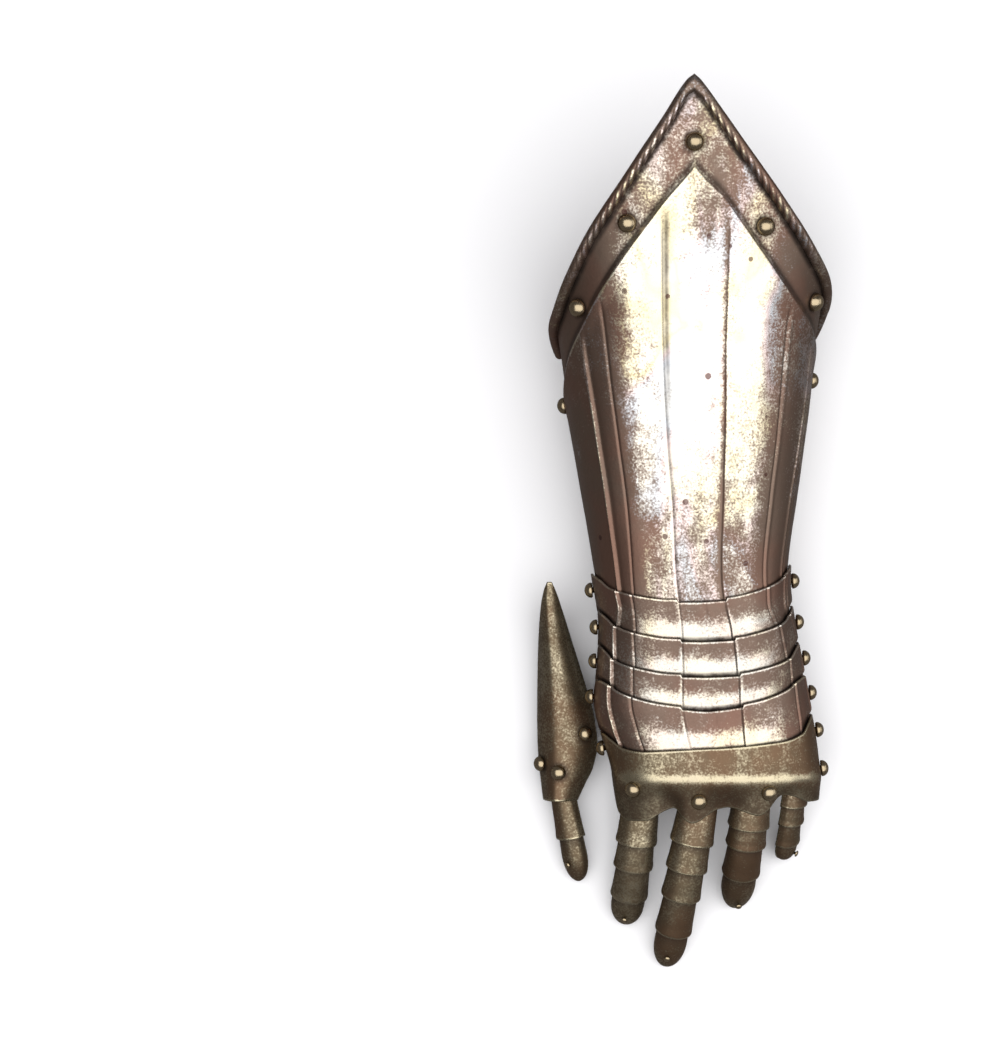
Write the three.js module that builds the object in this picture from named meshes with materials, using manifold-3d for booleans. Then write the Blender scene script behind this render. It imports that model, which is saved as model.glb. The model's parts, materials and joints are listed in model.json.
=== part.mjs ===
// An armoured gauntlet for the left hand, lying palm down.
// Fingers point to -Y, the pointed end of the cuff to +Y, the back of the hand faces +Z. Millimetres.
import * as THREE from "three";
import { mergeVertices } from "three/addons/utils/BufferGeometryUtils.js";
import Module from "manifold-3d";

const wasm = await Module();
wasm.setup();

// ---------------------------------------------------------------- driving dimensions

const WALL = 1.1; // steel plate
const LIFT = 2.0; // how far the near edge of a plate stands above the plate under it
const TUCK = 1.7; // how far the hidden end of a plate dips below the next one
const RIM_RADIUS = 2.9; // turned edge of the cuff
const SUNK = 1.2; // depth of the sunk border along the rim
const FLUTE_HEIGHT = 0.6;
const FLUTE_WIDTH = 4; // degrees from the top of a flute to its foot
const SKIRT = 8; // straight side wall below the pivots
const SHANK = 1.5; // rivet shank radius
const GAP = 0.3;

// The skin that all arm and hand plates follow, one row for each station along the gauntlet.
// left and right are the side walls, top the height of the crown, axis the height of the pivots.
const SKIN = [
  { y: -160, left: -32.5, right: 68, top: 46, axis: 24, square: 2.5 },
  { y: -125, left: -34.5, right: 70.5, top: 56.5, axis: 26.5, square: 2.5 },
  { y: -115, left: -36.5, right: 69.5, top: 57.5, axis: 27, square: 2.5 },
  { y: -100, left: -41, right: 67, top: 58.5, axis: 28, square: 2.5 },
  { y: -86, left: -43.5, right: 64.2, top: 60, axis: 29, square: 2.5 },
  { y: -65, left: -41.8, right: 60.3, top: 62.5, axis: 30, square: 2.5 },
  { y: -48, left: -41.2, right: 57, top: 65, axis: 31, square: 2.5 },
  { y: -23, left: -44.8, right: 54.2, top: 68.5, axis: 32, square: 2.45 },
  { y: 18, left: -51.9, right: 58.9, top: 76, axis: 35, square: 2.35 },
  { y: 61, left: -59.5, right: 64.5, top: 84.5, axis: 38.5, square: 2.25 },
  { y: 100, left: -65.4, right: 68.8, top: 92.5, axis: 42, square: 2.15 },
  { y: 160, left: -78.4, right: 81.5, top: 106.5, axis: 47, square: 2.1 },
  { y: 226, left: -93, right: 93.4, top: 122, axis: 50, square: 2.1 },
];

// Rim and inner step of the sunk border, at each angle round the cuff from the crown, on its two sides.
const CUFF_EDGE = [
  { angle: 0, leftRim: 226, leftStep: 183, rightRim: 226, rightStep: 183 },
  { angle: 3, leftRim: 220, leftStep: 177.2, rightRim: 219.3, rightStep: 177.3 },
  { angle: 9, leftRim: 205.5, leftStep: 167.6, rightRim: 206.2, rightStep: 169 },
  { angle: 16, leftRim: 191.2, leftStep: 156, rightRim: 192.5, rightStep: 156.9 },
  { angle: 26, leftRim: 173.2, leftStep: 141.2, rightRim: 176, rightStep: 142.2 },
  { angle: 39, leftRim: 154.2, leftStep: 123.7, rightRim: 158.4, rightStep: 126.8 },
  { angle: 56, leftRim: 132.2, leftStep: 103.4, rightRim: 141.3, rightStep: 112.8 },
  { angle: 74, leftRim: 115.2, leftStep: 87.5, rightRim: 129.2, rightStep: 102 },
  { angle: 90, leftRim: 107, leftStep: 74, rightRim: 119, rightStep: 91 },
  { angle: 110, leftRim: 95, leftStep: 62, rightRim: 104, rightStep: 75 },
  { angle: 140, leftRim: 81, leftStep: 46, rightRim: 85, rightStep: 52 },
  { angle: 180, leftRim: 76, leftStep: 40, rightRim: 76, rightStep: 40 },
];

// Angle of each raised flute at stations along the arm: two on the left, three near the crown, two on the right.
const FLUTES = [
  { y: -110, side: -60, flank: -38.5, left: -9.8, crown: 1.2, right: 13, far: 57, edge: 78 },
  { y: -80, side: -59.5, flank: -38.5, left: -8.8, crown: 2, right: 15, far: 56, edge: 78 },
  { y: -50, side: -57, flank: -38, left: -8.3, crown: 2.6, right: 13.8, far: 50, edge: 74 },
  { y: -35, side: -49.5, flank: -36.5, left: -8.2, crown: 1.4, right: 12, far: 41, edge: 62 },
  { y: 5, side: -49, flank: -34.5, left: -8.8, crown: 1.1, right: 12.4, far: 41, edge: 62 },
  { y: 48, side: -50.5, flank: -36, left: -10.8, crown: 1.2, right: 13, far: 42.6, edge: 66 },
  { y: 100, side: -54.5, flank: -39, left: -12.2, crown: 1.3, right: 13.4, far: 44, edge: 69 },
  { y: 160, side: -56, flank: -40, left: -11.6, crown: 1.3, right: 12.2, far: 45, edge: 70 },
];
const FLUTE_NAMES = ["side", "flank", "left", "crown", "right", "far", "edge"];

// Side rivets that the plates turn on, from the wrist to the knuckles.
const PIVOTS = [
  { name: "pivot_1", left: -28.7, right: -24 },
  { name: "pivot_2", left: -47.9, right: -45.3 },
  { name: "pivot_3", left: -65.5, right: -64 },
  { name: "pivot_4", left: -84, right: -82 },
  { name: "pivot_5", left: -110.8, right: -101.5 },
];

// Near edge of a plate, measured along the arm from its pivot line, at each angle from the crown.
const LAME_EDGE = [
  { angle: 0, y: -6.8 },
  { angle: 15, y: -6.2 },
  { angle: 30, y: -4.2 },
  { angle: 45, y: -1.6 },
  { angle: 57, y: 1 },
  { angle: 66, y: 4.4 },
  { angle: 78, y: 7 },
  { angle: 92, y: 8 },
  { angle: 110, y: 4.5 },
];
const METACARPAL_EDGE = [
  { angle: 0, y: -6 },
  { angle: 24, y: -2.6 },
  { angle: 38, y: 0.4 },
  { angle: 50, y: 3.4 },
  { angle: 60, y: 6.6 },
  { angle: 78, y: 8.6 },
  { angle: 92, y: 8.6 },
  { angle: 110, y: 4.5 },
];
const KNUCKLE_EDGE = [
  { angle: 0, y: -3.2 },
  { angle: 35, y: -2.6 },
  { angle: 55, y: 0 },
  { angle: 66, y: 4.4 },
  { angle: 78, y: 7.4 },
  { angle: 92, y: 8 },
  { angle: 110, y: 4.5 },
];

// Hidden far end of a plate, measured from the next pivot line.
const FAR_EDGE = [
  { angle: 0, y: -15.5 },
  { angle: 35, y: -13 },
  { angle: 60, y: -9 },
  { angle: 80, y: -7 },
  { angle: 110, y: -5.5 },
];

// Scalloped far edge of the knuckle plate: cusp ends and the notches between them.
const CUSP_EDGE = [
  { angle: -110, y: -126 },
  { angle: -88, y: -131 },
  { angle: -74, y: -143 },
  { angle: -58, y: -147 },
  { angle: -40, y: -146.5 },
  { angle: -24, y: -140 },
  { angle: -11, y: -147.5 },
  { angle: 2.5, y: -139.5 },
  { angle: 17, y: -143.5 },
  { angle: 34, y: -133 },
  { angle: 58, y: -137 },
  { angle: 78, y: -137 },
  { angle: 100, y: -127 },
  { angle: 110, y: -120 },
];
const VALLEY_ANGLES = [-24, 2.5, 34];
const VALLEY_WIDTH = 6.5; // degrees
const VALLEY_DEPTH = 5;
const VALLEY_START = -127;
const VALLEY_END = -141;
const CREST_Y = -124.5; // cross ridge of the knuckle plate
const CREST_HEIGHT = 2.2;
const CREST_WIDTH = 7;

// Each finger runs from base to tip along an arc that is highest in the middle.
// side and depth are the half width and the height of a scale at the base, roll leans its back to the right,
// starts are the places along it where each scale comes out from under the one before it.
const FINGERS = [
  {
    name: "index", base: [-21.3, -137, 33.5], tip: [-27.8, -200, 4.7], bulge: 5, roll: -8,
    side: 11.4, depth: 9, tipSide: 9.4, starts: [0, 0.35, 0.56, 0.82], cover: 0.09, tongue: 0.1,
  },
  {
    name: "middle", base: [8.2, -137, 41], tip: [-5.8, -221, 5.6], bulge: 6.5, roll: -4,
    side: 12, depth: 9.6, tipSide: 9.2, starts: [0, 0.25, 0.42, 0.6, 0.83], cover: 0.07, tongue: 0.1,
  },
  {
    name: "ring", base: [36.2, -132, 39.5], tip: [30.2, -191.5, 5.5], bulge: 6.5, roll: 8,
    side: 11.4, depth: 9, tipSide: 9.4, starts: [0, 0.3, 0.47, 0.74], cover: 0.09, tongue: 0.1,
  },
  {
    name: "little", base: [59.5, -124, 25.5], tip: [55.8, -167, 5.8], bulge: 3, roll: 62,
    side: 9.6, depth: 8.6, tipSide: 7.6, starts: [0, 0.36, 0.58, 0.84], cover: 0.1, tongue: 0.1,
  },
];
const THUMB = {
  name: "thumb", base: [-62.8, -130, 10.6], tip: [-53.4, -179, 4.4], bulge: 3, roll: -42,
  side: 8.4, depth: 7.6, tipSide: 7.6, starts: [0, 0.58], cover: 0.1, tongue: 0.12,
};
const TIP_END = 1.08; // the round ends pass the tip centre by this share of the finger
const SCALE_STEP = 1.5; // each scale is this much smaller than the one over it
const SCALE_FIT = 0.4; // room between a scale and the one over it
const SCALE_WALL = 1;
const SCALE_ANGLE = 105; // how far round the finger a scale reaches on each side
const SCALE_SKIRT = 2.5; // straight sides of a scale
const LEATHER = 1.6;
const STRIP_INSET = SCALE_STEP + SCALE_FIT + SCALE_WALL + 0.5; // from the outer surface of a scale
const STRIP_SPREAD = 40; // degrees that the strip reaches on each side of a finger's back
const STRIP_END = 0.86; // share of the finger where the strip ends

// Thumb plate: a long leaf with its left side folded down.
const THUMB_LEAF = [
  { y: -139, left: -71.8, right: -53.5, top: 24 },
  { y: -131, left: -72.8, right: -49.8, top: 24.8 },
  { y: -122, left: -73.8, right: -45.6, top: 25.6 },
  { y: -110, left: -74.6, right: -43.4, top: 26.4 },
  { y: -95, left: -74.9, right: -45.2, top: 27.2 },
  { y: -79, left: -74.8, right: -49.6, top: 28 },
  { y: -55, left: -74.3, right: -57, top: 28.4 },
  { y: -38, left: -73.2, right: -62.4, top: 28.4 },
  { y: -29, left: -71.6, right: -65.6, top: 28 },
  { y: -25, left: -70, right: -67.6, top: 27.6 },
];
const LEAF_LEFT_DROP = 15;
const LEAF_RIGHT_DROP = 11;

// ---------------------------------------------------------------- materials

const steel = (color) => new THREE.MeshStandardMaterial({ color, roughness: 0.4, metalness: 0.9 });
const STEEL = 0x8a7a68;
const DARK_STEEL = 0x5c5142;
const BRASS = 0x8f7a4e;
const leather = () => new THREE.MeshStandardMaterial({ color: 0x3a2a1e, roughness: 0.85, metalness: 0 });

// ---------------------------------------------------------------- numbers

const rad = THREE.MathUtils.degToRad;

/** Value of one column of a table at x, on a smooth curve that never overshoots its rows. */
function column(table, key, name, x) {
  const n = table.length - 1;
  if (x <= table[0][key]) return table[0][name];
  if (x >= table[n][key]) return table[n][name];
  let i = 0;
  while (x > table[i + 1][key]) i += 1;
  const slope = (k) => (table[k + 1][name] - table[k][name]) / (table[k + 1][key] - table[k][key]);
  const tangent = (k) => {
    if (k === 0) return slope(0);
    if (k === n) return slope(n - 1);
    const a = slope(k - 1);
    const b = slope(k);
    return a * b <= 0 ? 0 : (2 * a * b) / (a + b);
  };
  const h = table[i + 1][key] - table[i][key];
  const t = (x - table[i][key]) / h;
  const p = table[i][name];
  const q = table[i + 1][name];
  const t2 = t * t;
  const t3 = t2 * t;
  return (2 * t3 - 3 * t2 + 1) * p + (t3 - 2 * t2 + t) * h * tangent(i)
    + (3 * t2 - 2 * t3) * q + (t3 - t2) * h * tangent(i + 1);
}

const smooth = (a, b, x) => {
  const t = Math.min(1, Math.max(0, (x - a) / (b - a)));
  return t * t * (3 - 2 * t);
};

const steps = (count) => Array.from({ length: count + 1 }, (_, i) => i / count);

// ---------------------------------------------------------------- solids

/** A closed body through rings of paired outer and inner points, with both ends capped. */
function shell(rings) {
  const half = rings[0].outer.length;
  const size = 2 * half;
  const positions = [];
  for (const ring of rings) {
    for (const p of [...ring.outer, ...ring.inner.slice().reverse()]) positions.push(...p);
  }
  const index = [];
  const quad = (a, b, c, d) => index.push(a, b, c, a, c, d);
  for (let i = 0; i + 1 < rings.length; i += 1) {
    for (let j = 0; j < size; j += 1) {
      const k = (j + 1) % size;
      quad(i * size + j, (i + 1) * size + j, (i + 1) * size + k, i * size + k);
    }
  }
  const last = (rings.length - 1) * size;
  for (let j = 0; j + 1 < half; j += 1) {
    quad(j, j + 1, size - 2 - j, size - 1 - j);
    quad(last + j, last + size - 1 - j, last + size - 2 - j, last + j + 1);
  }
  const geometry = new THREE.BufferGeometry();
  geometry.setAttribute("position", new THREE.Float32BufferAttribute(positions, 3));
  geometry.setIndex(index);
  return geometry;
}

/** A three.js geometry as a solid that can be cut or joined. */
function toSolid(geometry) {
  const bare = geometry.clone();
  bare.deleteAttribute("normal");
  bare.deleteAttribute("uv");
  const merged = mergeVertices(bare, 1e-4);
  const vertProperties = new Float32Array(merged.attributes.position.array);
  const triVerts = new Uint32Array(merged.index.array);
  const solid = new wasm.Manifold(new wasm.Mesh({ numProp: 3, vertProperties, triVerts }));
  return solid.volume() < 0 ? toSolid(flipped(geometry)) : solid;
}

function flipped(geometry) {
  const copy = geometry.clone();
  const array = Array.from(copy.index.array);
  for (let i = 0; i < array.length; i += 3) [array[i], array[i + 1]] = [array[i + 1], array[i]];
  copy.setIndex(array);
  return copy;
}

function toGeometry(solid) {
  const mesh = solid.getMesh();
  const geometry = new THREE.BufferGeometry();
  geometry.setAttribute("position", new THREE.BufferAttribute(mesh.vertProperties, 3));
  geometry.setIndex(new THREE.BufferAttribute(mesh.triVerts, 1));
  return geometry;
}

/** A round bar that cuts a rivet hole, centred on a point and lying along a direction. */
function drill(place, radius) {
  const bar = new THREE.CylinderGeometry(radius, radius, 16, 8);
  const turn = new THREE.Quaternion().setFromUnitVectors(new THREE.Vector3(0, 1, 0), place.normal);
  bar.applyMatrix4(new THREE.Matrix4().compose(place.point, turn, new THREE.Vector3(1, 1, 1)));
  return toSolid(bar);
}

const group = new THREE.Group();

function add(name, geometry, material) {
  const mesh = new THREE.Mesh(geometry, material);
  mesh.name = name;
  group.add(mesh);
  return mesh;
}

/** Adds a plate with its rivet holes cut. */
function addPlate(name, geometry, holes, material) {
  let solid = toSolid(geometry);
  for (const place of holes) solid = solid.subtract(drill(place, SHANK + GAP));
  return add(name, toGeometry(solid), material);
}

/** A rivet: ball head outside, shank through the plates and a small flat head inside. */
function addRivet(name, place, { radius, height, grip, seat = GAP + 0.1 }) {
  const profile = [new THREE.Vector2(0, -grip - GAP - 1)];
  profile.push(new THREE.Vector2(SHANK + 1.1, -grip - GAP - 1));
  profile.push(new THREE.Vector2(SHANK + 1.1, -grip - GAP));
  profile.push(new THREE.Vector2(SHANK, -grip - GAP));
  profile.push(new THREE.Vector2(SHANK, seat));
  for (const t of [0, 0.45]) {
    const a = t * Math.PI / 2;
    profile.push(new THREE.Vector2(radius * Math.cos(a), seat + height * Math.sin(a)));
  }
  profile.push(new THREE.Vector2(0, seat + height));
  const geometry = new THREE.LatheGeometry(profile, 9);
  const mesh = add(name, geometry, steel(BRASS));
  mesh.quaternion.setFromUnitVectors(new THREE.Vector3(0, 1, 0), place.normal);
  mesh.position.copy(place.point);
  return mesh;
}

// ---------------------------------------------------------------- the skin of the arm and hand

/** Height of the raised flutes at an angle and a station. */
function flute(angle, y) {
  const heights = FLUTE_NAMES.map((name) => {
    const line = column(FLUTES, "y", name, y);
    return FLUTE_HEIGHT * (1 - Math.abs(angle - line) / FLUTE_WIDTH);
  });
  return Math.max(0, ...heights);
}

/** Point on the skin at an angle from the crown, a station along the arm and a height above the skin. */
function skin(angle, y, lift) {
  const left = column(SKIN, "y", "left", y);
  const right = column(SKIN, "y", "right", y);
  const top = column(SKIN, "y", "top", y);
  const axis = column(SKIN, "y", "axis", y);
  const power = 2 / column(SKIN, "y", "square", y);
  const turn = rad(Math.min(90, Math.abs(angle)));
  const across = Math.sin(turn) ** power * Math.sign(angle);
  const half = (right - left) / 2 + lift;
  const x = (left + right) / 2 + half * across;
  if (Math.abs(angle) <= 90) {
    return [x, y, axis + (top - axis + lift) * Math.max(0, Math.cos(turn)) ** power];
  }
  return [x, y, axis - (Math.abs(angle) - 90) / 20 * SKIRT];
}

/** The same skin as a closed tube with a flat underside on the table, for the cuff. */
function tube(angle, y, lift, floor) {
  if (Math.abs(angle) <= 90) return skin(angle, y, lift);
  const left = column(SKIN, "y", "left", y);
  const right = column(SKIN, "y", "right", y);
  const axis = column(SKIN, "y", "axis", y);
  const turn = rad(Math.abs(angle) - 90);
  const power = 2 / 2.6;
  const half = (right - left) / 2 + lift;
  const x = (left + right) / 2 + half * Math.sign(angle) * Math.max(0, Math.cos(turn)) ** power;
  const z = axis - (axis + 2.1 + lift) * Math.sin(turn) ** power;
  return [x, y, Math.max(floor, z)];
}

/** Where a rivet sits: a point on a surface and the direction that its head faces. */
function placeOn(surface, angle, y, lift) {
  const at = (a, b) => new THREE.Vector3(...surface(a, b, lift, 0));
  const du = at(angle + 1, y).sub(at(angle - 1, y));
  const dv = at(angle, y + 1).sub(at(angle, y - 1));
  return { point: at(angle, y), normal: du.cross(dv).normalize() };
}

const pivotY = (pivot, angle) => {
  const across = Math.sin(rad(Math.max(-90, Math.min(90, angle))));
  return (pivot.left + pivot.right) / 2 + across * (pivot.right - pivot.left) / 2;
};

/** The pair of places for the rivets of one pivot, both on one straight axis. */
function pivotPlaces(pivot, lift) {
  const at = (side, y) => new THREE.Vector3(...skin(90 * side, y, lift));
  const left = at(-1, pivot.left);
  const right = at(1, pivot.right);
  const height = (left.z + right.z) / 2;
  left.z = height;
  right.z = height;
  const axis = right.clone().sub(left).normalize();
  return [
    { side: "left", point: left, normal: axis.clone().negate() },
    { side: "right", point: right, normal: axis },
  ];
}

// ---------------------------------------------------------------- cuff

const CUFF_ANGLES = [
  -104, -97, -90, -80, -70, -61, -54, -49.5, -44, -38, -34.5, -30, -21, -15, -11.5, -8.5, -4, -1.3, 0, 1.3, 5,
  9, 13, 17, 21, 27, 34, 42, 50, 57, 62, 68, 74, 80, 90, 97, 104,
];
const cuffRim = (angle) => column(CUFF_EDGE, "angle", angle < 0 ? "leftRim" : "rightRim", Math.abs(angle));
const cuffStep = (angle) => column(CUFF_EDGE, "angle", angle < 0 ? "leftStep" : "rightStep", Math.abs(angle));

/** How much the turned edge stretches along the arm where the rim runs at a slant. */
function rimSlant(angle) {
  const size = Math.min(100, Math.max(1, Math.abs(angle)));
  const side = angle < 0 ? -1 : 1;
  const y = cuffRim(side * size);
  const rise = cuffRim(side * (size + 1)) - cuffRim(side * (size - 1));
  const p = tube(side * (size + 1), y, 0, 0);
  const q = tube(side * (size - 1), y, 0, 0);
  return Math.hypot(1, rise / Math.hypot(p[0] - q[0], p[2] - q[2]));
}

/** One lengthwise section of the cuff plate: field, step down to the border, groove and turned rim. */
function cuffRing(angle) {
  const far = pivotY(PIVOTS[0], angle) + column(FAR_EDGE, "angle", "y", Math.abs(angle));
  const edge = pivotY(PIVOTS[0], angle) + column(LAME_EDGE, "angle", "y", Math.abs(angle));
  const step = cuffStep(angle);
  const slant = rimSlant(angle);
  const centre = cuffRim(angle) - RIM_RADIUS * slant;
  const outer = [];
  const inner = [];
  const wall = (y, lift) => {
    outer.push(tube(angle, y, lift, 0));
    inner.push(tube(angle, y, lift - WALL, 0));
  };
  const tuck = TUCK * smooth(88, 68, Math.abs(angle));
  wall(far, -tuck - 0.1);
  wall((far + edge) / 2, -tuck / 2);
  for (const t of [0.02, 0.18, 0.36, 0.54, 0.72, 0.88]) {
    const y = edge + t * (step - edge);
    wall(y, flute(angle, y) * smooth(1, 0.85, t));
  }
  wall(step - 0.6, 0);
  wall(step + 1.2, -SUNK);
  wall((step + centre) / 2, -SUNK);
  const roll = (degrees) => {
    const a = rad(degrees);
    return tube(angle, centre + slant * RIM_RADIUS * Math.cos(a), 0.4 + RIM_RADIUS * Math.sin(a), 0);
  };
  for (const t of steps(6)) {
    outer.push(roll(205 - t * 235));
    inner.push(roll(255 + t * 60));
  }
  return { outer, inner };
}

const BORDER_RIVETS = [
  { angle: 0, y: 193 },
  { angle: -24, y: 154.5 },
  { angle: 26, y: 153 },
  { angle: -54, y: 114.5 },
  { angle: 64, y: 118 },
];
const SIDE_RIVETS = [{ angle: -96, y: 67 }, { angle: 96, y: 80 }];

function cuffPlaces() {
  const border = BORDER_RIVETS.map((rivet) => placeOn(tube, rivet.angle, rivet.y, -SUNK));
  const sides = SIDE_RIVETS.map((rivet) => placeOn(tube, rivet.angle, rivet.y, 0));
  return { border, sides };
}

function makeCuff() {
  const places = cuffPlaces();
  const pivots = pivotPlaces(PIVOTS[0], LIFT);
  const cuff = shell(CUFF_ANGLES.map(cuffRing));
  addPlate("cuff_plate", cuff, [...places.border, ...places.sides, ...pivots], steel(STEEL));
  const inner = shell(steps(22).map((t) => innerRing(84 + t * 192)));
  addPlate("cuff_inner_plate", inner, places.sides, steel(DARK_STEEL));
  places.border.forEach((place, i) => {
    addRivet(`border_rivet_${i + 1}`, place, { radius: 4.8, height: 4.9, grip: WALL });
  });
  places.sides.forEach((place, i) => {
    addRivet(`cuff_side_rivet_${i + 1}`, place, { radius: 4.3, height: 4.2, grip: 2 * WALL + GAP + 1.6 });
  });
}

/** One lengthwise section of the palm side plate, with a turned edge that fades out at its sides. */
function innerRing(turned) {
  const angle = turned > 180 ? turned - 360 : turned;
  const size = Math.abs(angle);
  const full = smooth(104, 122, size);
  const under = -WALL - GAP - 0.25;
  const sunk = SUNK * (1 - smooth(104, 118, size));
  const radius = WALL / 2 + (RIM_RADIUS - 0.8 - WALL / 2) * full;
  const rim = cuffRim(angle) - 9 * (1 - full);
  const start = -26 + 10 * smooth(114, 100, size);
  const outer = [];
  const inner = [];
  for (const t of [0, 0.3, 0.55, 0.66, 0.76, 0.88, 1]) {
    const y = start + t * (rim - 2 * radius - 1 - start);
    const lift = under - sunk * smooth(cuffStep(angle) - 9, cuffStep(angle) - 2, y);
    outer.push(tube(angle, y, lift, 0));
    inner.push(tube(angle, y, lift - WALL, WALL));
  }
  const lift = under - sunk;
  const roll = (degrees) => {
    const a = rad(degrees);
    const y = rim - radius + radius * Math.cos(a);
    return tube(angle, y, lift - radius + radius * Math.sin(a), radius - radius * Math.sin(a));
  };
  for (const t of steps(4)) {
    outer.push(roll(90 - t * 90));
    inner.push(roll(150 + t * 150));
  }
  return { outer, inner };
}

// ---------------------------------------------------------------- wrist and hand plates

const PLATE_ANGLES = [
  -110, -90, -80, -70, -61, -57, -49.5, -44, -38, -34.5, -26, -15, -8.5, -4, 1.3, 6, 13, 18, 30, 42, 50, 57,
  66, 77, 90, 110,
];

/** Layer of a plate over the skin: high at its near edge, low where the next plate covers it. */
function layer(angle, y, near, next, far) {
  const side = smooth(50, 80, Math.abs(angle));
  const t = (near - y) / (near - next);
  const slope = LIFT * (1 - Math.min(1, Math.max(0, t)));
  const kink = LIFT * (1 - smooth(0.78, 0.98, t));
  const tuck = y < next ? TUCK * (next - y) / (next - far) : 0;
  return slope * (1 - side) + kink * side - tuck * smooth(88, 68, Math.abs(angle));
}

function plateRing(angle, edges) {
  const size = Math.abs(angle);
  const near = pivotY(edges.pivot, angle) + column(edges.near, "angle", "y", size);
  const next = pivotY(edges.nextPivot, angle) + column(edges.next, "angle", "y", size);
  const far = pivotY(edges.nextPivot, angle) + column(FAR_EDGE, "angle", "y", size);
  const outer = [];
  const inner = [];
  const rows = [near, near + 0.4 * (next - near), near + 0.76 * (next - near), next + 0.2, far];
  for (const y of rows) {
    const lift = layer(angle, y, near, next, far) + flute(angle, y);
    outer.push(skin(angle, y, lift));
    inner.push(skin(angle, y, lift - WALL));
  }
  return { outer, inner };
}

const HAND_PLATES = [
  { name: "wrist_lame_1", near: LAME_EDGE, next: LAME_EDGE },
  { name: "wrist_lame_2", near: LAME_EDGE, next: LAME_EDGE },
  { name: "wrist_lame_3", near: LAME_EDGE, next: METACARPAL_EDGE },
  { name: "metacarpal_plate", near: METACARPAL_EDGE, next: KNUCKLE_EDGE },
];

function makeHandPlates() {
  HAND_PLATES.forEach((plate, i) => {
    const edges = { ...plate, pivot: PIVOTS[i], nextPivot: PIVOTS[i + 1] };
    const holes = [...pivotPlaces(PIVOTS[i], LIFT), ...pivotPlaces(PIVOTS[i + 1], LIFT)];
    addPlate(plate.name, shell(PLATE_ANGLES.map((angle) => plateRing(angle, edges))), holes, steel(STEEL));
  });
  for (const pivot of PIVOTS) {
    for (const place of pivotPlaces(pivot, LIFT)) {
      addRivet(`${pivot.name}_${place.side}`, place, { radius: 4, height: 3.9, grip: 2 * WALL + 1.6, seat: 0.9 });
    }
  }
}

// ---------------------------------------------------------------- knuckle plate

/** Height of the knuckle plate over the skin: cross ridge, then valleys between the finger cusps. */
function knuckleLift(angle, y, near) {
  const crest = CREST_HEIGHT * Math.exp(-(((y - CREST_Y) / CREST_WIDTH) ** 2)) * smooth(88, 62, Math.abs(angle));
  const depth = VALLEY_DEPTH * smooth(VALLEY_START, VALLEY_END, y);
  let valley = 0;
  for (const line of VALLEY_ANGLES) {
    valley = Math.max(valley, depth * Math.exp(-(((angle - line) / VALLEY_WIDTH) ** 2)));
  }
  return LIFT - 0.5 * smooth(near, CREST_Y, y) + crest - valley;
}

const KNUCKLE_ANGLES = [
  -110, -100, -90, -82, -74, -66, -58, -49, -40, -33, -28, -24, -20, -15, -10, -5, -1, 2.5, 6, 10, 16, 23,
  29, 34, 39, 45, 52, 60, 69, 78, 86, 94, 102, 110,
];

function knuckleRing(angle) {
  const pivot = PIVOTS[4];
  const near = pivotY(pivot, angle) + column(KNUCKLE_EDGE, "angle", "y", Math.abs(angle));
  const far = column(CUSP_EDGE, "angle", "y", angle);
  const outer = [];
  const inner = [];
  for (const t of [0, 0.2, 0.4, 0.55, 0.7, 0.85, 1]) {
    const y = near + t * (far - near);
    const lift = knuckleLift(angle, y, near);
    outer.push(skin(angle, y, lift));
    inner.push(skin(angle, y, lift - WALL));
  }
  return { outer, inner };
}

const CUSP_RIVETS = [
  { name: "index_cusp_rivet", angle: -50, y: -130.5 },
  { name: "middle_cusp_rivet", angle: -8, y: -136 },
  { name: "ring_cusp_rivet", angle: 22, y: -131.5 },
  { name: "little_cusp_rivet", angle: 82, y: -121 },
];

const overKnuckle = (angle, y, lift) => skin(angle, y, lift + knuckleLift(angle, y, -109));

function makeKnucklePlate() {
  const places = CUSP_RIVETS.map((rivet) => placeOn(overKnuckle, rivet.angle, rivet.y, 0));
  const holes = [...places, ...pivotPlaces(PIVOTS[4], LIFT)];
  addPlate("knuckle_plate", shell(KNUCKLE_ANGLES.map(knuckleRing)), holes, steel(DARK_STEEL));
  CUSP_RIVETS.forEach((rivet, i) => {
    addRivet(rivet.name, places[i], { radius: 4.2, height: 3.8, grip: WALL });
  });
}

// ---------------------------------------------------------------- fingers

/** Frame of a finger at t from base to tip: centre, direction to the side and direction of its back. */
function fingerFrame(finger, t) {
  const base = new THREE.Vector3(...finger.base);
  const tip = new THREE.Vector3(...finger.tip);
  const centre = base.clone().lerp(tip, t);
  centre.z += 4 * finger.bulge * t * (1 - t);
  const along = tip.clone().sub(base);
  along.z += 4 * finger.bulge * (1 - 2 * t);
  along.normalize();
  const side = new THREE.Vector3(0, 0, 1).cross(along).normalize();
  side.applyAxisAngle(along, -rad(finger.roll));
  const back = along.clone().cross(side);
  return { centre, side, back };
}

/** Point on a finger at t, at an angle from its back, inset from the outer surface and drawn in at its end. */
function fingerPoint(finger, t, angle, inset, round) {
  const { centre, side, back } = fingerFrame(finger, t);
  const half = (THREE.MathUtils.lerp(finger.side, finger.tipSide, t) - inset) * round;
  const depth = (THREE.MathUtils.lerp(finger.depth, finger.tipSide * 0.85, t) - inset) * round;
  const a = rad(Math.max(-90, Math.min(90, angle)));
  const drop = Math.max(0, Math.abs(angle) - 90) / 15 * SCALE_SKIRT * round;
  const p = centre.clone().addScaledVector(side, half * Math.sin(a));
  p.addScaledVector(back, depth * Math.cos(a) - drop);
  return p.toArray();
}

const fingerLength = (finger) => new THREE.Vector3(...finger.base).distanceTo(new THREE.Vector3(...finger.tip));

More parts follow.
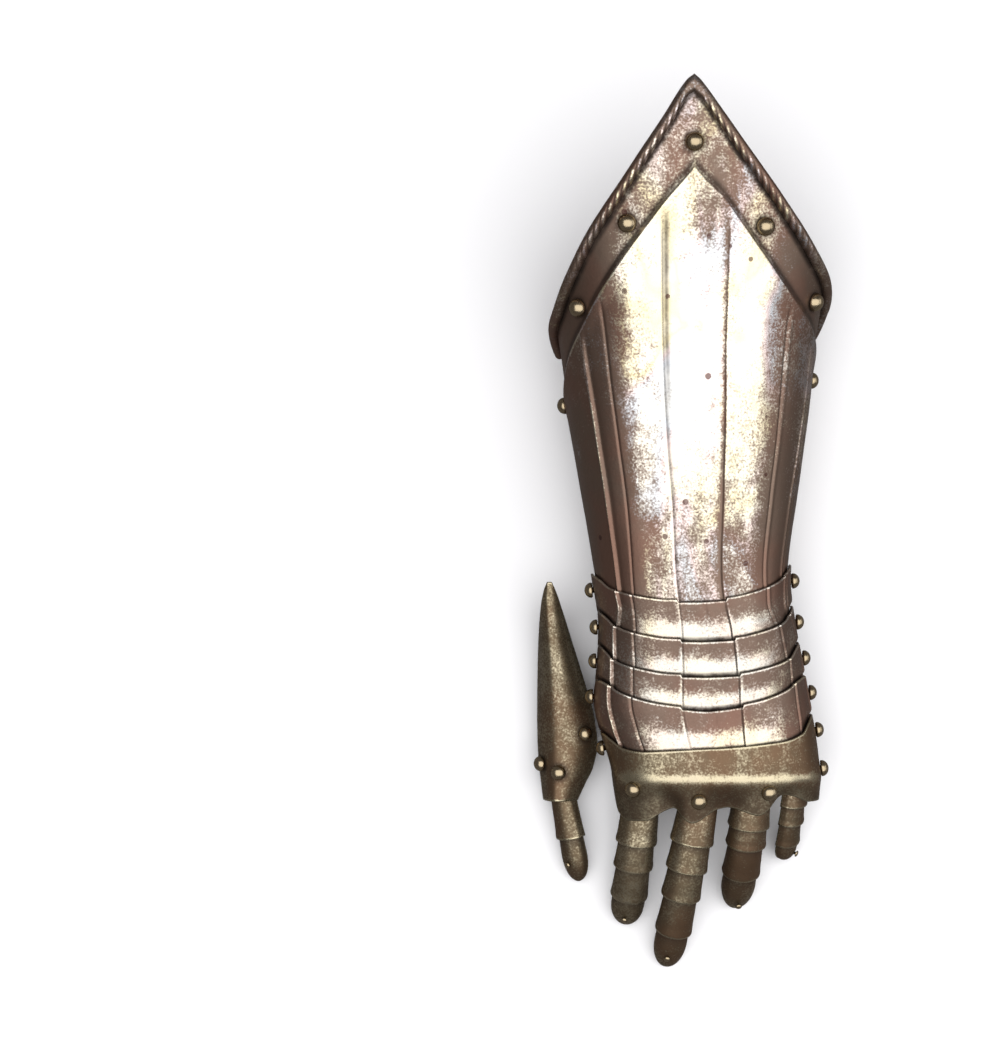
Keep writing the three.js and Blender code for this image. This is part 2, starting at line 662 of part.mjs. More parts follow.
/** An open scale from t0 to t1: its hidden near end is inset, its far end flares to the full size. */
function scaleGeometry(finger, t0, t1) {
  const rings = steps(8).map((u) => {
    const angle = SCALE_ANGLE * (1 - 2 * u);
    const outer = [];
    const inner = [];
    for (const v of [0, 0.5, 1]) {
      const inset = (SCALE_STEP + SCALE_FIT) * (1 - v);
      const t = t0 + v * (t1 - t0);
      outer.push(fingerPoint(finger, t, angle, inset, 1));
      inner.push(fingerPoint(finger, t, angle, inset + SCALE_WALL, 1));
    }
    return { outer, inner };
  });
  return shell(rings);
}

/** The last scale, drawn in to a round end. */
function tipGeometry(finger, t0) {
  const wallStep = SCALE_WALL / fingerLength(finger);
  const rings = steps(8).map((u) => {
    const angle = SCALE_ANGLE * (1 - 2 * u);
    const outer = [];
    const inner = [];
    for (const v of [0, 0.3, 0.52, 0.7, 0.85, 0.95, 1]) {
      const inset = (SCALE_STEP + SCALE_FIT) * Math.max(0, 1 - 1.1 * v);
      const round = Math.max(0.08, Math.sqrt(Math.max(0, 1 - Math.max(0, (v - 0.45) / 0.55) ** 2)));
      outer.push(fingerPoint(finger, t0 + v * (TIP_END - t0), angle, inset, round));
      inner.push(fingerPoint(finger, t0 + v * (TIP_END - wallStep - t0), angle, inset + SCALE_WALL, round));
    }
    return { outer, inner };
  });
  return shell(rings);
}

/** The leather strip that carries the scales, along the inside of their backs. */
function stripGeometry(finger) {
  const start = -finger.tongue;
  const rings = steps(4).map((u) => {
    const angle = STRIP_SPREAD * (1 - 2 * u);
    const layerAt = (inset) => steps(6).map((v) => {
      return fingerPoint(finger, start + v * (STRIP_END - start), angle, inset, 1);
    });
    return { outer: layerAt(STRIP_INSET), inner: layerAt(STRIP_INSET + LEATHER) };
  });
  return shell(rings);
}

function makeFinger(finger) {
  const starts = finger.starts;
  starts.forEach((start, i) => {
    const near = i === 0 ? start : start - finger.cover;
    if (i === starts.length - 1) {
      add(`${finger.name}_tip`, tipGeometry(finger, near), steel(DARK_STEEL));
    } else {
      add(`${finger.name}_scale_${i + 1}`, scaleGeometry(finger, near, starts[i + 1]), steel(DARK_STEEL));
    }
  });
  add(`${finger.name}_strip`, stripGeometry(finger), leather());
}

// ---------------------------------------------------------------- thumb

/** Point on the thumb plate at p from its left to its right edge, below its outer surface by inset. */
function leafPoint(p, y, inset) {
  const left = column(THUMB_LEAF, "y", "left", y) + inset;
  const right = column(THUMB_LEAF, "y", "right", y) - inset * 0.3;
  const top = column(THUMB_LEAF, "y", "top", y) - inset;
  const width = smooth(0, 24, right - left);
  const fall = LEAF_LEFT_DROP * (1 - p) ** 6 + LEAF_RIGHT_DROP * p ** 3;
  return [left + (right - left) * p, y, top - fall * width];
}

const overLeaf = (p, y) => leafPoint(p, y, 0);

function leafPlace(p, y) {
  const at = (a, b) => new THREE.Vector3(...overLeaf(a, b));
  const du = at(p + 0.03, y).sub(at(p - 0.03, y));
  const dv = at(p, y + 1).sub(at(p, y - 1));
  return { point: at(p, y), normal: du.cross(dv).normalize() };
}

function makeThumb() {
  const rows = THUMB_LEAF.map((row) => row.y).reverse();
  const rings = [0, 0.07, 0.15, 0.24, 0.36, 0.5, 0.64, 0.78, 0.9, 1].map((p) => ({
    outer: rows.map((y) => leafPoint(p, y, 0)),
    inner: rows.map((y) => leafPoint(p, y, WALL)),
  }));
  const places = [leafPlace(0.79, -104), leafPlace(0.36, -124), leafPlace(0.06, -120)];
  addPlate("thumb_plate", shell(rings), places, steel(DARK_STEEL));
  places.forEach((place, i) => {
    addRivet(`thumb_rivet_${i + 1}`, place, { radius: 4, height: 3.8, grip: WALL + 0.6, seat: 0.7 });
  });
  const [start, joint] = THUMB.starts;
  add("thumb_scale", scaleGeometry(THUMB, start, joint), steel(DARK_STEEL));
  add("thumb_tip", tipGeometry(THUMB, joint - THUMB.cover), steel(DARK_STEEL));
  add("thumb_strip", stripGeometry(THUMB), leather());
}

makeCuff();
makeHandPlates();
makeKnucklePlate();
FINGERS.forEach(makeFinger);
makeThumb();

// The origin is the middle of the box, on the table.
const box = new THREE.Box3().setFromObject(group, true);
group.position.set(-(box.min.x + box.max.x) / 2, -(box.min.y + box.max.y) / 2, -box.min.z);

export default group;
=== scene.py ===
# %% [markdown]
# # An armoured gauntlet
# A steel gauntlet for the left hand lies palm down on a pale table. The solid model is loaded first: it
# says where every plate and rivet is. The visible plates are then worked out again as fine curved sheets,
# from the same named sizes, because reflections on bare metal show every facet of a coarse mesh. The
# plates could also be made from the solids with a subdivision modifier, but that rounds off the crisp
# flutes.

# %% Load the frame
import json
import math

import bpy
import numpy as np
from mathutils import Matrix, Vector

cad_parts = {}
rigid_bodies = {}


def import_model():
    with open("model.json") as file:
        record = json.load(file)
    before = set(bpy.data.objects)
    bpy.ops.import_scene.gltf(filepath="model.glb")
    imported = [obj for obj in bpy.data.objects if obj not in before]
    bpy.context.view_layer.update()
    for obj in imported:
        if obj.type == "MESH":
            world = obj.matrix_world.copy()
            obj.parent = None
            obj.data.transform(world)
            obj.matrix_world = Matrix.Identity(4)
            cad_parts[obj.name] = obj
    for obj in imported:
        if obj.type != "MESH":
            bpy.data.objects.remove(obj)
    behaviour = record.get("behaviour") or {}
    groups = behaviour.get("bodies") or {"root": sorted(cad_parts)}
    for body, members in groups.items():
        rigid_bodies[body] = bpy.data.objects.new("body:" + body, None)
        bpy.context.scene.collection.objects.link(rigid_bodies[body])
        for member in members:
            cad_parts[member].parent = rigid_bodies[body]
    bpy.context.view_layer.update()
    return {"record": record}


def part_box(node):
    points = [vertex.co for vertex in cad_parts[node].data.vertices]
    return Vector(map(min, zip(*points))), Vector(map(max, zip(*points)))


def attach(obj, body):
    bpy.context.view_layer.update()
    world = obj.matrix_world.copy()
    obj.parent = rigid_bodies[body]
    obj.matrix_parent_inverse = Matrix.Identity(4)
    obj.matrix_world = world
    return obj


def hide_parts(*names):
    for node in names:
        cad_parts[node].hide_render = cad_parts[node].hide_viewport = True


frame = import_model()

# %% [markdown]
# ## Sizes
# These are the sizes of the real object in millimetres, in the maker's own coordinates: fingers towards
# -Y, the point of the cuff towards +Y, the table at z = 0. The tables have a row for each station, and a
# smooth curve through the rows gives every value between them.

# %% Driving sizes
MM = 0.001
QUARTER = 90  # degrees from the crest of the arm to its side
LEAF_LEFT, LEAF_POINT = -74.9, -25.0  # left side and point of the thumb plate, in the maker's coordinates
leaf_low, leaf_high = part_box("thumb_plate")
SHIFT = np.array([leaf_low[0] / MM - LEAF_LEFT, leaf_high[1] / MM - LEAF_POINT, 0.0])
print("shift to the model's own middle, mm:", SHIFT.round(2))
WALL = 1.1  # thickness of the sheet steel
GAP = 0.3  # air between two parts that lie on each other
LIFT = 2.0  # height of a hand plate's near edge over the common skin
TUCK = 1.7  # depth of a plate's far end under the next plate
RIM_RADIUS = 2.9  # half the thickness of the turned edge of the cuff
SUNK = 1.2  # depth of the border that runs along the turned edge
SKIRT, SKIRT_SPAN = 8.0, 20  # drop of a side wall past a quarter turn, and the degrees it takes
SHANK = 1.5  # radius of a rivet's shank

SKIN = {
    "y": [-160, -125, -115, -100, -86, -65, -48, -23, 18, 61, 100, 160, 226],
    "left": [-32.5, -34.5, -36.5, -41, -43.5, -41.8, -41.2, -44.8, -51.9, -59.5, -65.4, -78.4, -93],
    "right": [68, 70.5, 69.5, 67, 64.2, 60.3, 57, 54.2, 58.9, 64.5, 68.8, 81.5, 93.4],
    "top": [46, 56.5, 57.5, 58.5, 60, 62.5, 65, 68.5, 76, 84.5, 92.5, 106.5, 122],
    "axis": [24, 26.5, 27, 28, 29, 30, 31, 32, 35, 38.5, 42, 47, 50],
    "square": [2.5, 2.5, 2.5, 2.5, 2.5, 2.5, 2.5, 2.45, 2.35, 2.25, 2.15, 2.1, 2.1],
}
CUFF_EDGE = {
    "angle": [0, 3, 9, 16, 26, 39, 56, 74, 90, 110, 140, 180],
    "left_rim": [226, 220, 205.5, 191.2, 173.2, 154.2, 132.2, 115.2, 107, 95, 81, 76],
    "left_step": [183, 177.2, 167.6, 156, 141.2, 123.7, 103.4, 87.5, 74, 62, 46, 40],
    "right_rim": [226, 219.3, 206.2, 192.5, 176, 158.4, 141.3, 129.2, 119, 104, 85, 76],
    "right_step": [183, 177.3, 169, 156.9, 142.2, 126.8, 112.8, 102, 91, 75, 52, 40],
}
FLUTES = {
    "y": [-110, -80, -50, -35, 5, 48, 100, 160],
    "side": [-60, -59.5, -57, -49.5, -49, -50.5, -54.5, -56],
    "flank": [-38.5, -38.5, -38, -36.5, -34.5, -36, -39, -40],
    "left": [-9.8, -8.8, -8.3, -8.2, -8.8, -10.8, -12.2, -11.6],
    "crown": [1.2, 2, 2.6, 1.4, 1.1, 1.2, 1.3, 1.3],
    "right": [13, 15, 13.8, 12, 12.4, 13, 13.4, 12.2],
    "far": [57, 56, 50, 41, 41, 42.6, 44, 45],
    "edge": [78, 78, 74, 62, 62, 66, 69, 70],
}
PIVOTS = [(-28.7, -24), (-47.9, -45.3), (-65.5, -64), (-84, -82), (-110.8, -101.5)]
LAME_EDGE = {
    "angle": [0, 15, 30, 45, 57, 66, 78, 92, 110],
    "y": [-6.8, -6.2, -4.2, -1.6, 1, 4.4, 7, 8, 4.5],
}
METACARPAL_EDGE = {
    "angle": [0, 24, 38, 50, 60, 78, 92, 110],
    "y": [-6, -2.6, 0.4, 3.4, 6.6, 8.6, 8.6, 4.5],
}
KNUCKLE_EDGE = {
    "angle": [0, 35, 55, 66, 78, 92, 110],
    "y": [-3.2, -2.6, 0, 4.4, 7.4, 8, 4.5],
}
FAR_EDGE = {"angle": [0, 35, 60, 80, 110], "y": [-15.5, -13, -9, -7, -5.5]}
print("stations of the skin:", len(SKIN["y"]), "pivots:", len(PIVOTS))

# %% [markdown]
# ## Curves and the common skin
# All arm and hand plates follow one skin, as shingles follow a roof. A point on it is found from the
# angle round the arm, the station along it and a height above the skin, so neighbouring plates stay
# parallel. Each plate could be drawn on its own, but then every change to one would have to be repeated
# on its neighbours.

# %% Smooth curves through table rows
def smooth(a, b, x):
    """Goes from 0 at a to 1 at b: t squared times (3 - 2t), with t held between 0 and 1."""
    t = np.clip((x - a) / (b - a), 0.0, 1.0)
    return t * t * (3.0 - 2.0 * t)


def curve(xs, ys, x):
    """Cubic pieces through the rows, with harmonic mean slopes, so the curve never overshoots a row."""
    xs, ys, x = np.asarray(xs, float), np.asarray(ys, float), np.asarray(x, float)
    gap = np.diff(xs)
    slope = np.diff(ys) / gap
    tangent = np.concatenate([slope[:1], np.zeros(len(xs) - 2), slope[-1:]])
    a, b = slope[:-1], slope[1:]
    same = a * b > 0
    tangent[1:-1][same] = 2 * a[same] * b[same] / (a + b)[same]
    x = np.clip(x, xs[0], xs[-1])
    i = np.clip(np.searchsorted(xs, x, side="right") - 1, 0, len(xs) - 2)
    h = gap[i]
    t = (x - xs[i]) / h
    t2, t3 = t * t, t * t * t
    near = (2 * t3 - 3 * t2 + 1) * ys[i] + (t3 - 2 * t2 + t) * h * tangent[i]
    return near + (3 * t2 - 2 * t3) * ys[i + 1] + (t3 - t2) * h * tangent[i + 1]


def skin(angle, y, lift):
    """Superellipse round the arm: half width times sine to a power, height times cosine to the same power.
    Past a quarter turn the wall drops straight down to the skirt."""
    angle, y, lift = np.broadcast_arrays(angle, y, lift)
    left, right = curve(SKIN["y"], SKIN["left"], y), curve(SKIN["y"], SKIN["right"], y)
    top, axis = curve(SKIN["y"], SKIN["top"], y), curve(SKIN["y"], SKIN["axis"], y)
    power = 2 / curve(SKIN["y"], SKIN["square"], y)
    turn = np.radians(np.minimum(QUARTER, np.abs(angle)))
    x = (left + right) / 2 + ((right - left) / 2 + lift) * np.sin(turn) ** power * np.sign(angle)
    z = axis + (top - axis + lift) * np.maximum(0, np.cos(turn)) ** power
    z = z - np.maximum(0, np.abs(angle) - QUARTER) / SKIRT_SPAN * SKIRT
    return np.stack([x, y, z], -1)


PALM_SQUARE = 2.6  # roundness of the palm side: 2 is an ellipse, more is squarer
PALM_DROP = 2.1  # the palm side is drawn this far below the table and stopped by it, which makes it flat


def tube(angle, y, lift):
    """The skin on top, and below a quarter turn a flatter superellipse that rests on the table."""
    angle, y, lift = np.broadcast_arrays(angle, y, lift)
    above = skin(angle, y, lift)
    left, right = curve(SKIN["y"], SKIN["left"], y), curve(SKIN["y"], SKIN["right"], y)
    axis = curve(SKIN["y"], SKIN["axis"], y)
    turn = np.radians(np.clip(np.abs(angle) - QUARTER, 0, QUARTER))
    power = 2 / PALM_SQUARE
    half = (right - left) / 2 + lift
    x = (left + right) / 2 + half * np.sign(angle) * np.maximum(0, np.cos(turn)) ** power
    z = np.maximum(0, axis - (axis + PALM_DROP + lift) * np.sin(turn) ** power)
    below = np.stack([x, y, z], -1)
    return np.where((np.abs(angle) <= QUARTER)[..., None], above, below)


def pivot_line(pivot, angle):
    """Station of a pivot line: the middle of its two rivets, plus sine of the angle times half their gap."""
    left, right = pivot
    return (left + right) / 2 + np.sin(np.radians(np.clip(angle, -QUARTER, QUARTER))) * (right - left) / 2


# %% [markdown]
# ## From a sheet of points to a plate
# Real plates are cut from sheet and their edges are filed round, which is why the edges glint. A plate is
# made from a grid of points on its outer face. The middle of the sheet lies half a wall below, rows with
# shrinking thickness are added past each edge as a half circle, and both faces meet in the last row.
# Solidify and Bevel modifiers could do the same, but a grid keeps the numbers that the finish needs at
# every point: how far it is from the edge of the plate, and masks for wear and painted highlight, dirt and
# painted shade, stain and painted shading, that each plate fills in.

# %% Plate maker
EDGE_ROUND = np.radians([35.0, 65.0, 90.0])  # rows of the half circle along an edge
TINY = 1e-9


def unit(v):
    """Each vector divided by its length."""
    return v / np.maximum(np.linalg.norm(v, axis=-1, keepdims=True), TINY)


def grid_normals(points):
    """Normal at each point: the cross product of the steps along both directions of the grid."""
    across = np.gradient(points, axis=0)
    along = np.gradient(points, axis=1)
    return unit(np.cross(across, along))


def extend(values, axis, steps, outward=False):
    """Repeats the first and last row, moved outward by the given steps for the round edge of the plate."""
    v = np.moveaxis(values, axis, 0)
    n = len(steps)
    first, last = np.repeat(v[:1], n, 0), np.repeat(v[-1:], n, 0)
    if outward:
        s = steps.reshape([n] + [1] * (v.ndim - 1))
        first = first + unit(v[:1] - v[1:2]) * s
        last = last + unit(v[-1:] - v[-2:-1]) * s
    return np.moveaxis(np.concatenate([first[::-1], v, last]), 0, axis)


def plate_arrays(outer, wall, masks):
    """Both faces of a plate and its point numbers: the middle sheet plus and minus half the wall along the
    normal. The wall shrinks with the cosine, and the sheet grows with the sine, of each row of the edge."""
    normal = grid_normals(outer)
    middle = outer - normal * wall / 2
    size_u = np.linalg.norm(np.diff(middle, axis=0), axis=-1)
    size_v = np.linalg.norm(np.diff(middle, axis=1), axis=-1)
    run_u = np.concatenate([np.zeros((1, middle.shape[1])), np.cumsum(size_u, 0)])
    run_v = np.concatenate([np.zeros((middle.shape[0], 1)), np.cumsum(size_v, 1)], 1)
    edge = np.minimum(np.minimum(run_u, run_u[-1:] - run_u), np.minimum(run_v, run_v[:, -1:] - run_v))
    numbers = {"edge": edge, **masks}
    thick = np.ones(outer.shape[:2])
    out, shrink = wall / 2 * np.sin(EDGE_ROUND), np.cos(EDGE_ROUND)
    for axis in (1, 0):
        middle = extend(middle, axis, out, True)
        normal = extend(normal, axis, out)
        thick = extend(thick, axis, out)
        t = np.moveaxis(thick, axis, 0)
        ramp = shrink.reshape(-1, *[1] * (t.ndim - 1))
        t[: len(out)] *= ramp[::-1]
        t[-len(out):] *= ramp
        numbers = {k: extend(v, axis, out) for k, v in numbers.items()}
    half = normal * (thick * wall / 2)[..., None]
    return middle + half, middle - half, numbers


def keep_numbers(mesh, numbers):
    """Stores one number per point for each mask, which the materials read by name."""
    for key, value in numbers.items():
        mesh.attributes.new(key, "FLOAT", "POINT").data.foreach_set("value", value.astype(np.float32))


def closed_mesh(name, front, back, numbers):
    """Joins two grids that share their border into one closed mesh with smooth faces."""
    nu, nv = front.shape[:2]
    top = np.arange(nu * nv).reshape(nu, nv)
    inside = np.zeros((nu, nv), bool)
    inside[1:-1, 1:-1] = True
    low = top.copy()
    low[inside] = nu * nv + np.arange(inside.sum())
    points = np.concatenate([front.reshape(-1, 3), back[inside]])

    def quads(index, turned):
        a, b, c, d = index[:-1, :-1], index[1:, :-1], index[1:, 1:], index[:-1, 1:]
        order = (a, d, c, b) if turned else (a, b, c, d)
        return np.stack(order, -1).reshape(-1, 4)

    faces = np.concatenate([quads(top, False), quads(low, True)])
    mesh = bpy.data.meshes.new(name)
    mesh.vertices.add(len(points))
    mesh.vertices.foreach_set("co", ((points + SHIFT) * MM).astype(np.float32).ravel())
    mesh.loops.add(faces.size)
    mesh.loops.foreach_set("vertex_index", faces.astype(np.int32).ravel())
    mesh.polygons.add(len(faces))
    mesh.polygons.foreach_set("loop_start", np.arange(0, faces.size, 4, dtype=np.int32))
    mesh.update(calc_edges=True)
    mesh.validate()
    mesh.shade_smooth()
    keep_numbers(mesh, {k: np.concatenate([v.ravel(), v[inside]]) for k, v in numbers.items()})
    return mesh


def signed_volume(mesh):
    """Sum over triangles of the box product of their corners, over 6. It is positive if faces point out."""
    mesh.calc_loop_triangles()
    co = np.empty(len(mesh.vertices) * 3, np.float32)
    mesh.vertices.foreach_get("co", co)
    tri = np.empty(len(mesh.loop_triangles) * 3, np.int32)
    mesh.loop_triangles.foreach_get("vertices", tri)
    a, b, c = np.moveaxis(co.reshape(-1, 3)[tri.reshape(-1, 3)], 1, 0)
    return float(np.einsum("ij,ij->i", a, np.cross(b, c)).sum() / 6)


OWN_PIECES = []


def piece(name, mesh, body, slot, nodes):
    """Puts a mesh in the scene, on its body, in its finish, in place of the solids that it shows. A mesh
    whose volume comes out negative has its faces turned round first."""
    if signed_volume(mesh) < 0:
        mesh.flip_normals()
    shown = bpy.data.objects.new(name, mesh)
    bpy.context.scene.collection.objects.link(shown)
    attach(shown, body)
    OWN_PIECES.append((shown, slot))
    if nodes:
        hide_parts(*nodes)


# masks of wear and painted highlight, dirt and painted shade, and stain and painted shading
MASKS = ("wear", "grime", "stain")


def plate(name, outer, wall, body, slot, nodes, **masks):
    """A finished plate from the grid of its outer face. The grid is reversed if its normals point inwards,
    that is if their product with the way from the plate's middle is negative in total."""
    masks = {k: np.broadcast_to(v, outer.shape[:2]).astype(float) for k, v in masks.items()}
    for key in MASKS:
        masks.setdefault(key, np.zeros(outer.shape[:2]))
    if (grid_normals(outer) * (outer - outer.mean((0, 1)))).sum() < 0:
        outer, masks = outer[:, ::-1], {k: v[:, ::-1] for k, v in masks.items()}
    mesh = closed_mesh(name, *plate_arrays(outer, wall, masks))
    piece(name, mesh, body, slot, nodes)
    print(f"{name}: {len(mesh.polygons)} faces")


# %% [markdown]
# ## Flutes
# The armourer raised narrow ridges along the arm, which stiffen the plate. The two beside the middle are
# steps: the metal climbs slowly from outside and falls off sharply towards the middle. The outer ones are
# plain ridges and fine grooves. Flutes could be drawn in a bump map, but their edges show in outline
# where plates overlap, so each is a real height. It depends on the angle round the arm, and its line
# follows a table of stations, so it runs on from plate to plate.

# %% Flute profile
def ridge(angle, line, height, width):
    """A narrow bell: height times exp of minus the squared distance."""
    return height * np.exp(-(((angle - line) / width) ** 2))


# flute line, degrees beside it, height (a groove is negative) and half width in degrees
RIDGES = [
    ("side", 0, 0.9, 1.3), ("side", 3, -0.35, 1.5), ("edge", 0, 0.6, 1.2), ("edge", 5, 0.4, 1.2),
    ("flank", 0, -0.4, 0.8), ("crown", 0, -0.32, 0.8), ("far", 0, -0.35, 0.8), ("far", 2, 0.25, 1.2),
]


def step_flute(angle, line, inward, height=0.8):
    """Climbs over 9 degrees towards the line, falls within 1.6 degrees and recovers over 7 degrees."""
    d = (angle - line) * inward
    climb = np.exp(np.minimum(d, 0) / 4.0)
    fall = smooth(1.5, 0.0, d) * 1.4 - 0.4 * smooth(9.0, 1.0, d)
    return height * np.where(d <= 0, climb, fall)


def flutes(angle, y):
    """Sum of all the flutes at an angle and a station."""
    angle, y = np.broadcast_arrays(angle, y)
    line = {name: curve(FLUTES["y"], FLUTES[name], y) for name in FLUTES if name != "y"}
    total = step_flute(angle, line["left"], 1) + step_flute(angle, line["right"], -1)
    for name, beside, height, width in RIDGES:
        total = total + ridge(angle, line[name] + beside, height, width)
    return total


FLUTE_LINES = np.array([-58, -50, -38, -35, -11.8, -8.5, 1.5, 13, 42, 50, 56, 64, 70, 78])
GRID_FOCUS, GRID_REACH = 3.5, 2.2


def angle_grid(start, end, count):
    """Angles packed closer near the flutes: equal steps of the running total of a density."""
    fine = np.linspace(start, end, 4000)
    density = 1 + GRID_FOCUS * np.exp(-(((fine[:, None] - FLUTE_LINES) / GRID_REACH) ** 2)).sum(1)
    total = np.cumsum(density)
    total = (total - total[0]) / (total[-1] - total[0])
    return np.interp(np.linspace(0, 1, count), total, fine)


def hammer(angle, y, size=0.12):
    """Slow waves left by the hammer: a few sines of unlike lengths and directions."""
    a, b = np.asarray(angle) * 0.9, np.asarray(y)
    waves = np.sin(a / 7.3 + b / 11.0) + np.sin(a / 4.1 - b / 17.0 + 1.3) + np.sin(b / 6.3 + a / 13.0 + 4.0)
    return size * (waves + np.sin(b / 23.0 - a / 9.0 + 2.2)) / 2


# %% [markdown]
# ## Cuff
# The cuff is one long plate that opens towards the elbow and ends in a point. It could be bent out of a
# flat outline, as the armourer did, but its step and its rim would then wander off the rows of the mesh.
# Here the rows follow the step of the sunk border, so that the step stays crisp all the way round.

# %% Rim and step of the cuff
POINT_BLUNT, POINT_WIDTH = 1.0, 1.1  # how far the point is filed back, in mm, over how many degrees


def cuff_line(angle, line):
    """Station of a line round the cuff, from the table of its left or right side."""
    size = np.abs(angle)
    left, right = (curve(CUFF_EDGE["angle"], CUFF_EDGE[f"{side}_{line}"], size) for side in ("left", "right"))
    return np.where(np.asarray(angle) < 0, left, right)


def cuff_rim(angle):
    """Rim of the cuff, with the very point blunted by a small bell."""
    return cuff_line(angle, "rim") - POINT_BLUNT * np.exp(-((np.abs(angle) / POINT_WIDTH) ** 2))


def cuff_step(angle):
    """Step down to the sunk border."""
    return cuff_line(angle, "step")


def rim_slant(angle):
    """Stretch of the turned edge along the arm where the rim slants: the hypotenuse of 1 and its rise."""
    side = np.where(np.asarray(angle) < 0, -1, 1)
    size = np.clip(np.abs(angle), 2.2, 100)
    y = cuff_rim(side * size)
    p, q = tube(side * (size + 1), y, 0), tube(side * (size - 1), y, 0)
    run = np.hypot(p[..., 0] - q[..., 0], p[..., 2] - q[..., 2])
    return np.hypot(1, (cuff_rim(side * (size + 1)) - cuff_rim(side * (size - 1))) / run)


def near_edge(pivot, table, angle):
    """Station of a plate's edge: its pivot line plus a table by the angle from the crest."""
    return pivot_line(pivot, angle) + curve(table["angle"], table["y"], np.abs(angle))


# %% Cuff surface
CUFF_SPAN = 104  # the cuff plate ends this many degrees from the crest on both sides
STEP_BEFORE, STEP_AFTER = 5.0, 3.5  # the step is bent within this distance of its line


def shares(count):
    """Even shares from 0 to 1 along a row, with the last one left out for the next part of the surface."""
    return np.linspace(0, 1, count)[None, :-1]


def cuff_surface():
    """Rows: field from the hidden end to the step, the step itself, then the border up to the rim. The height
    is the flutes plus a slight swelling before the step, minus the step and the tuck under the first lame."""
    angle = angle_grid(-CUFF_SPAN, CUFF_SPAN, 262)[:, None]
    far = near_edge(PIVOTS[0], FAR_EDGE, angle)
    edge = near_edge(PIVOTS[0], LAME_EDGE, angle)
    step = cuff_step(angle)
    centre = cuff_rim(angle) - RIM_RADIUS * rim_slant(angle)
    hidden = far + shares(10) * (edge - far)
    field = edge + shares(92) * (step - STEP_BEFORE - edge)
    rise = step + np.linspace(-STEP_BEFORE, STEP_AFTER, 22)[None, :-1]
    border = step + STEP_AFTER + np.linspace(0, 1, 40)[None] * (centre - step - STEP_AFTER)
    y = np.concatenate([hidden, field, rise, border], 1)
    tuck = TUCK * smooth(88, 68, np.abs(angle)) * np.clip((edge - y) / (edge - far), 0, 1)
    lift = flutes(angle, y) * smooth(-3, -16, y - step) - tuck
    lift = lift + 0.5 * smooth(-14, -3.4, y - step) * smooth(-0.8, -3.4, y - step)
    lift = lift - SUNK * smooth(-3.2, 2.6, y - step) + hammer(angle, y)
    return angle + 0 * y, y, lift, y - step


cuff_angle, cuff_y, cuff_lift, cuff_past = cuff_surface()
cuff_points = tube(cuff_angle, cuff_y, cuff_lift)
print("cuff grid:", cuff_points.shape[:2], "width, mm:", np.ptp(cuff_points[..., 0]).round(1))

# %% [markdown]
# ## Rivets
# Ball rivets decorate the border and hold the sliding plates together. They could be spheres pushed into
# the plate, but a real rivet has a lip, a shank and a small head inside. So every rivet is turned from
# one profile, sits on the surface under it and faces straight out.

# %% Rivet places
def place_on(surface, angle, y):
    """Point on a surface and its outward normal, from small steps both ways."""

    def at(a, b):
        return surface(np.array(float(a)), np.array(float(b)))

    normal = np.cross(at(angle + 0.5, y) - at(angle - 0.5, y), at(angle, y + 0.5) - at(angle, y - 0.5))
    return at(angle, y), unit(normal)


# angle round the arm and station
BORDER_RIVETS = [(0, 193), (-24, 154.5), (26, 153), (-54, 114.5), (64, 118)]
SIDE_RIVETS = [(-96, 67), (96, 80)]
BORDER_PLACES = [place_on(lambda a, b: tube(a, b, -SUNK), *spot) for spot in BORDER_RIVETS]
SIDE_PLACES = [place_on(lambda a, b: tube(a, b, 0.0), *spot) for spot in SIDE_RIVETS]


def pivot_places(pivot):
    """Both rivets of a pivot share one straight axis across the hand."""
    left = skin(np.array(-QUARTER), np.array(float(pivot[0])), LIFT)
    right = skin(np.array(QUARTER), np.array(float(pivot[1])), LIFT)
    left[2] = right[2] = (left[2] + right[2]) / 2
    axis = unit(right - left)
    return (left, -axis), (right, axis)


print("rivets on the cuff:", len(BORDER_PLACES) + len(SIDE_PLACES))

# %% [markdown]
# ### One profile for all rivets
# A smith would turn a rivet from bar stock. The Screw modifier does the same in Blender, but rivets on a
# curved plate each face another way, so the profile is spun straight round its own direction, with a fan
# of triangles at both poles.

# %% Rivet shapes
def turned(name, profile, point, normal, count=40):
    """Spins (radius, height) rows round a direction: point plus radius times (cosine times one side plus sine
    times the other) plus height times the direction. Both ends lie on the axis."""
    radius, height = np.array(profile, float).T
    turn = np.linspace(0, 2 * np.pi, count, endpoint=False)
    side = unit(np.cross(normal, [0.31, 0.87, 0.39]))
    other = np.cross(normal, side)
    ring = np.cos(turn)[:, None] * side + np.sin(turn)[:, None] * other
    body = point + radius[1:-1, None, None] * ring + height[1:-1, None, None] * normal
    points = np.concatenate([body.reshape(-1, 3), [point + height[0] * normal, point + height[-1] * normal]])
    rows = len(radius) - 2
    index = np.arange(rows * count).reshape(rows, count)
    after = np.roll(index, -1, 1)
    quads = np.stack([index[:-1], after[:-1], after[1:], index[1:]], -1).reshape(-1, 4)
    low, high = rows * count, rows * count + 1
    fans = [np.stack([after[0], index[0], np.full(count, low)], -1)]
    fans.append(np.stack([index[-1], after[-1], np.full(count, high)], -1))
    mesh = bpy.data.meshes.new(name)
    faces = quads.tolist() + np.concatenate(fans).tolist()
    mesh.from_pydata(((points + SHIFT) * MM).tolist(), [], faces)
    mesh.shade_smooth()
    return mesh


INNER_HEAD = (2.6, 1.0)  # radius and thickness of the small head inside
BALL_ROWS = 12


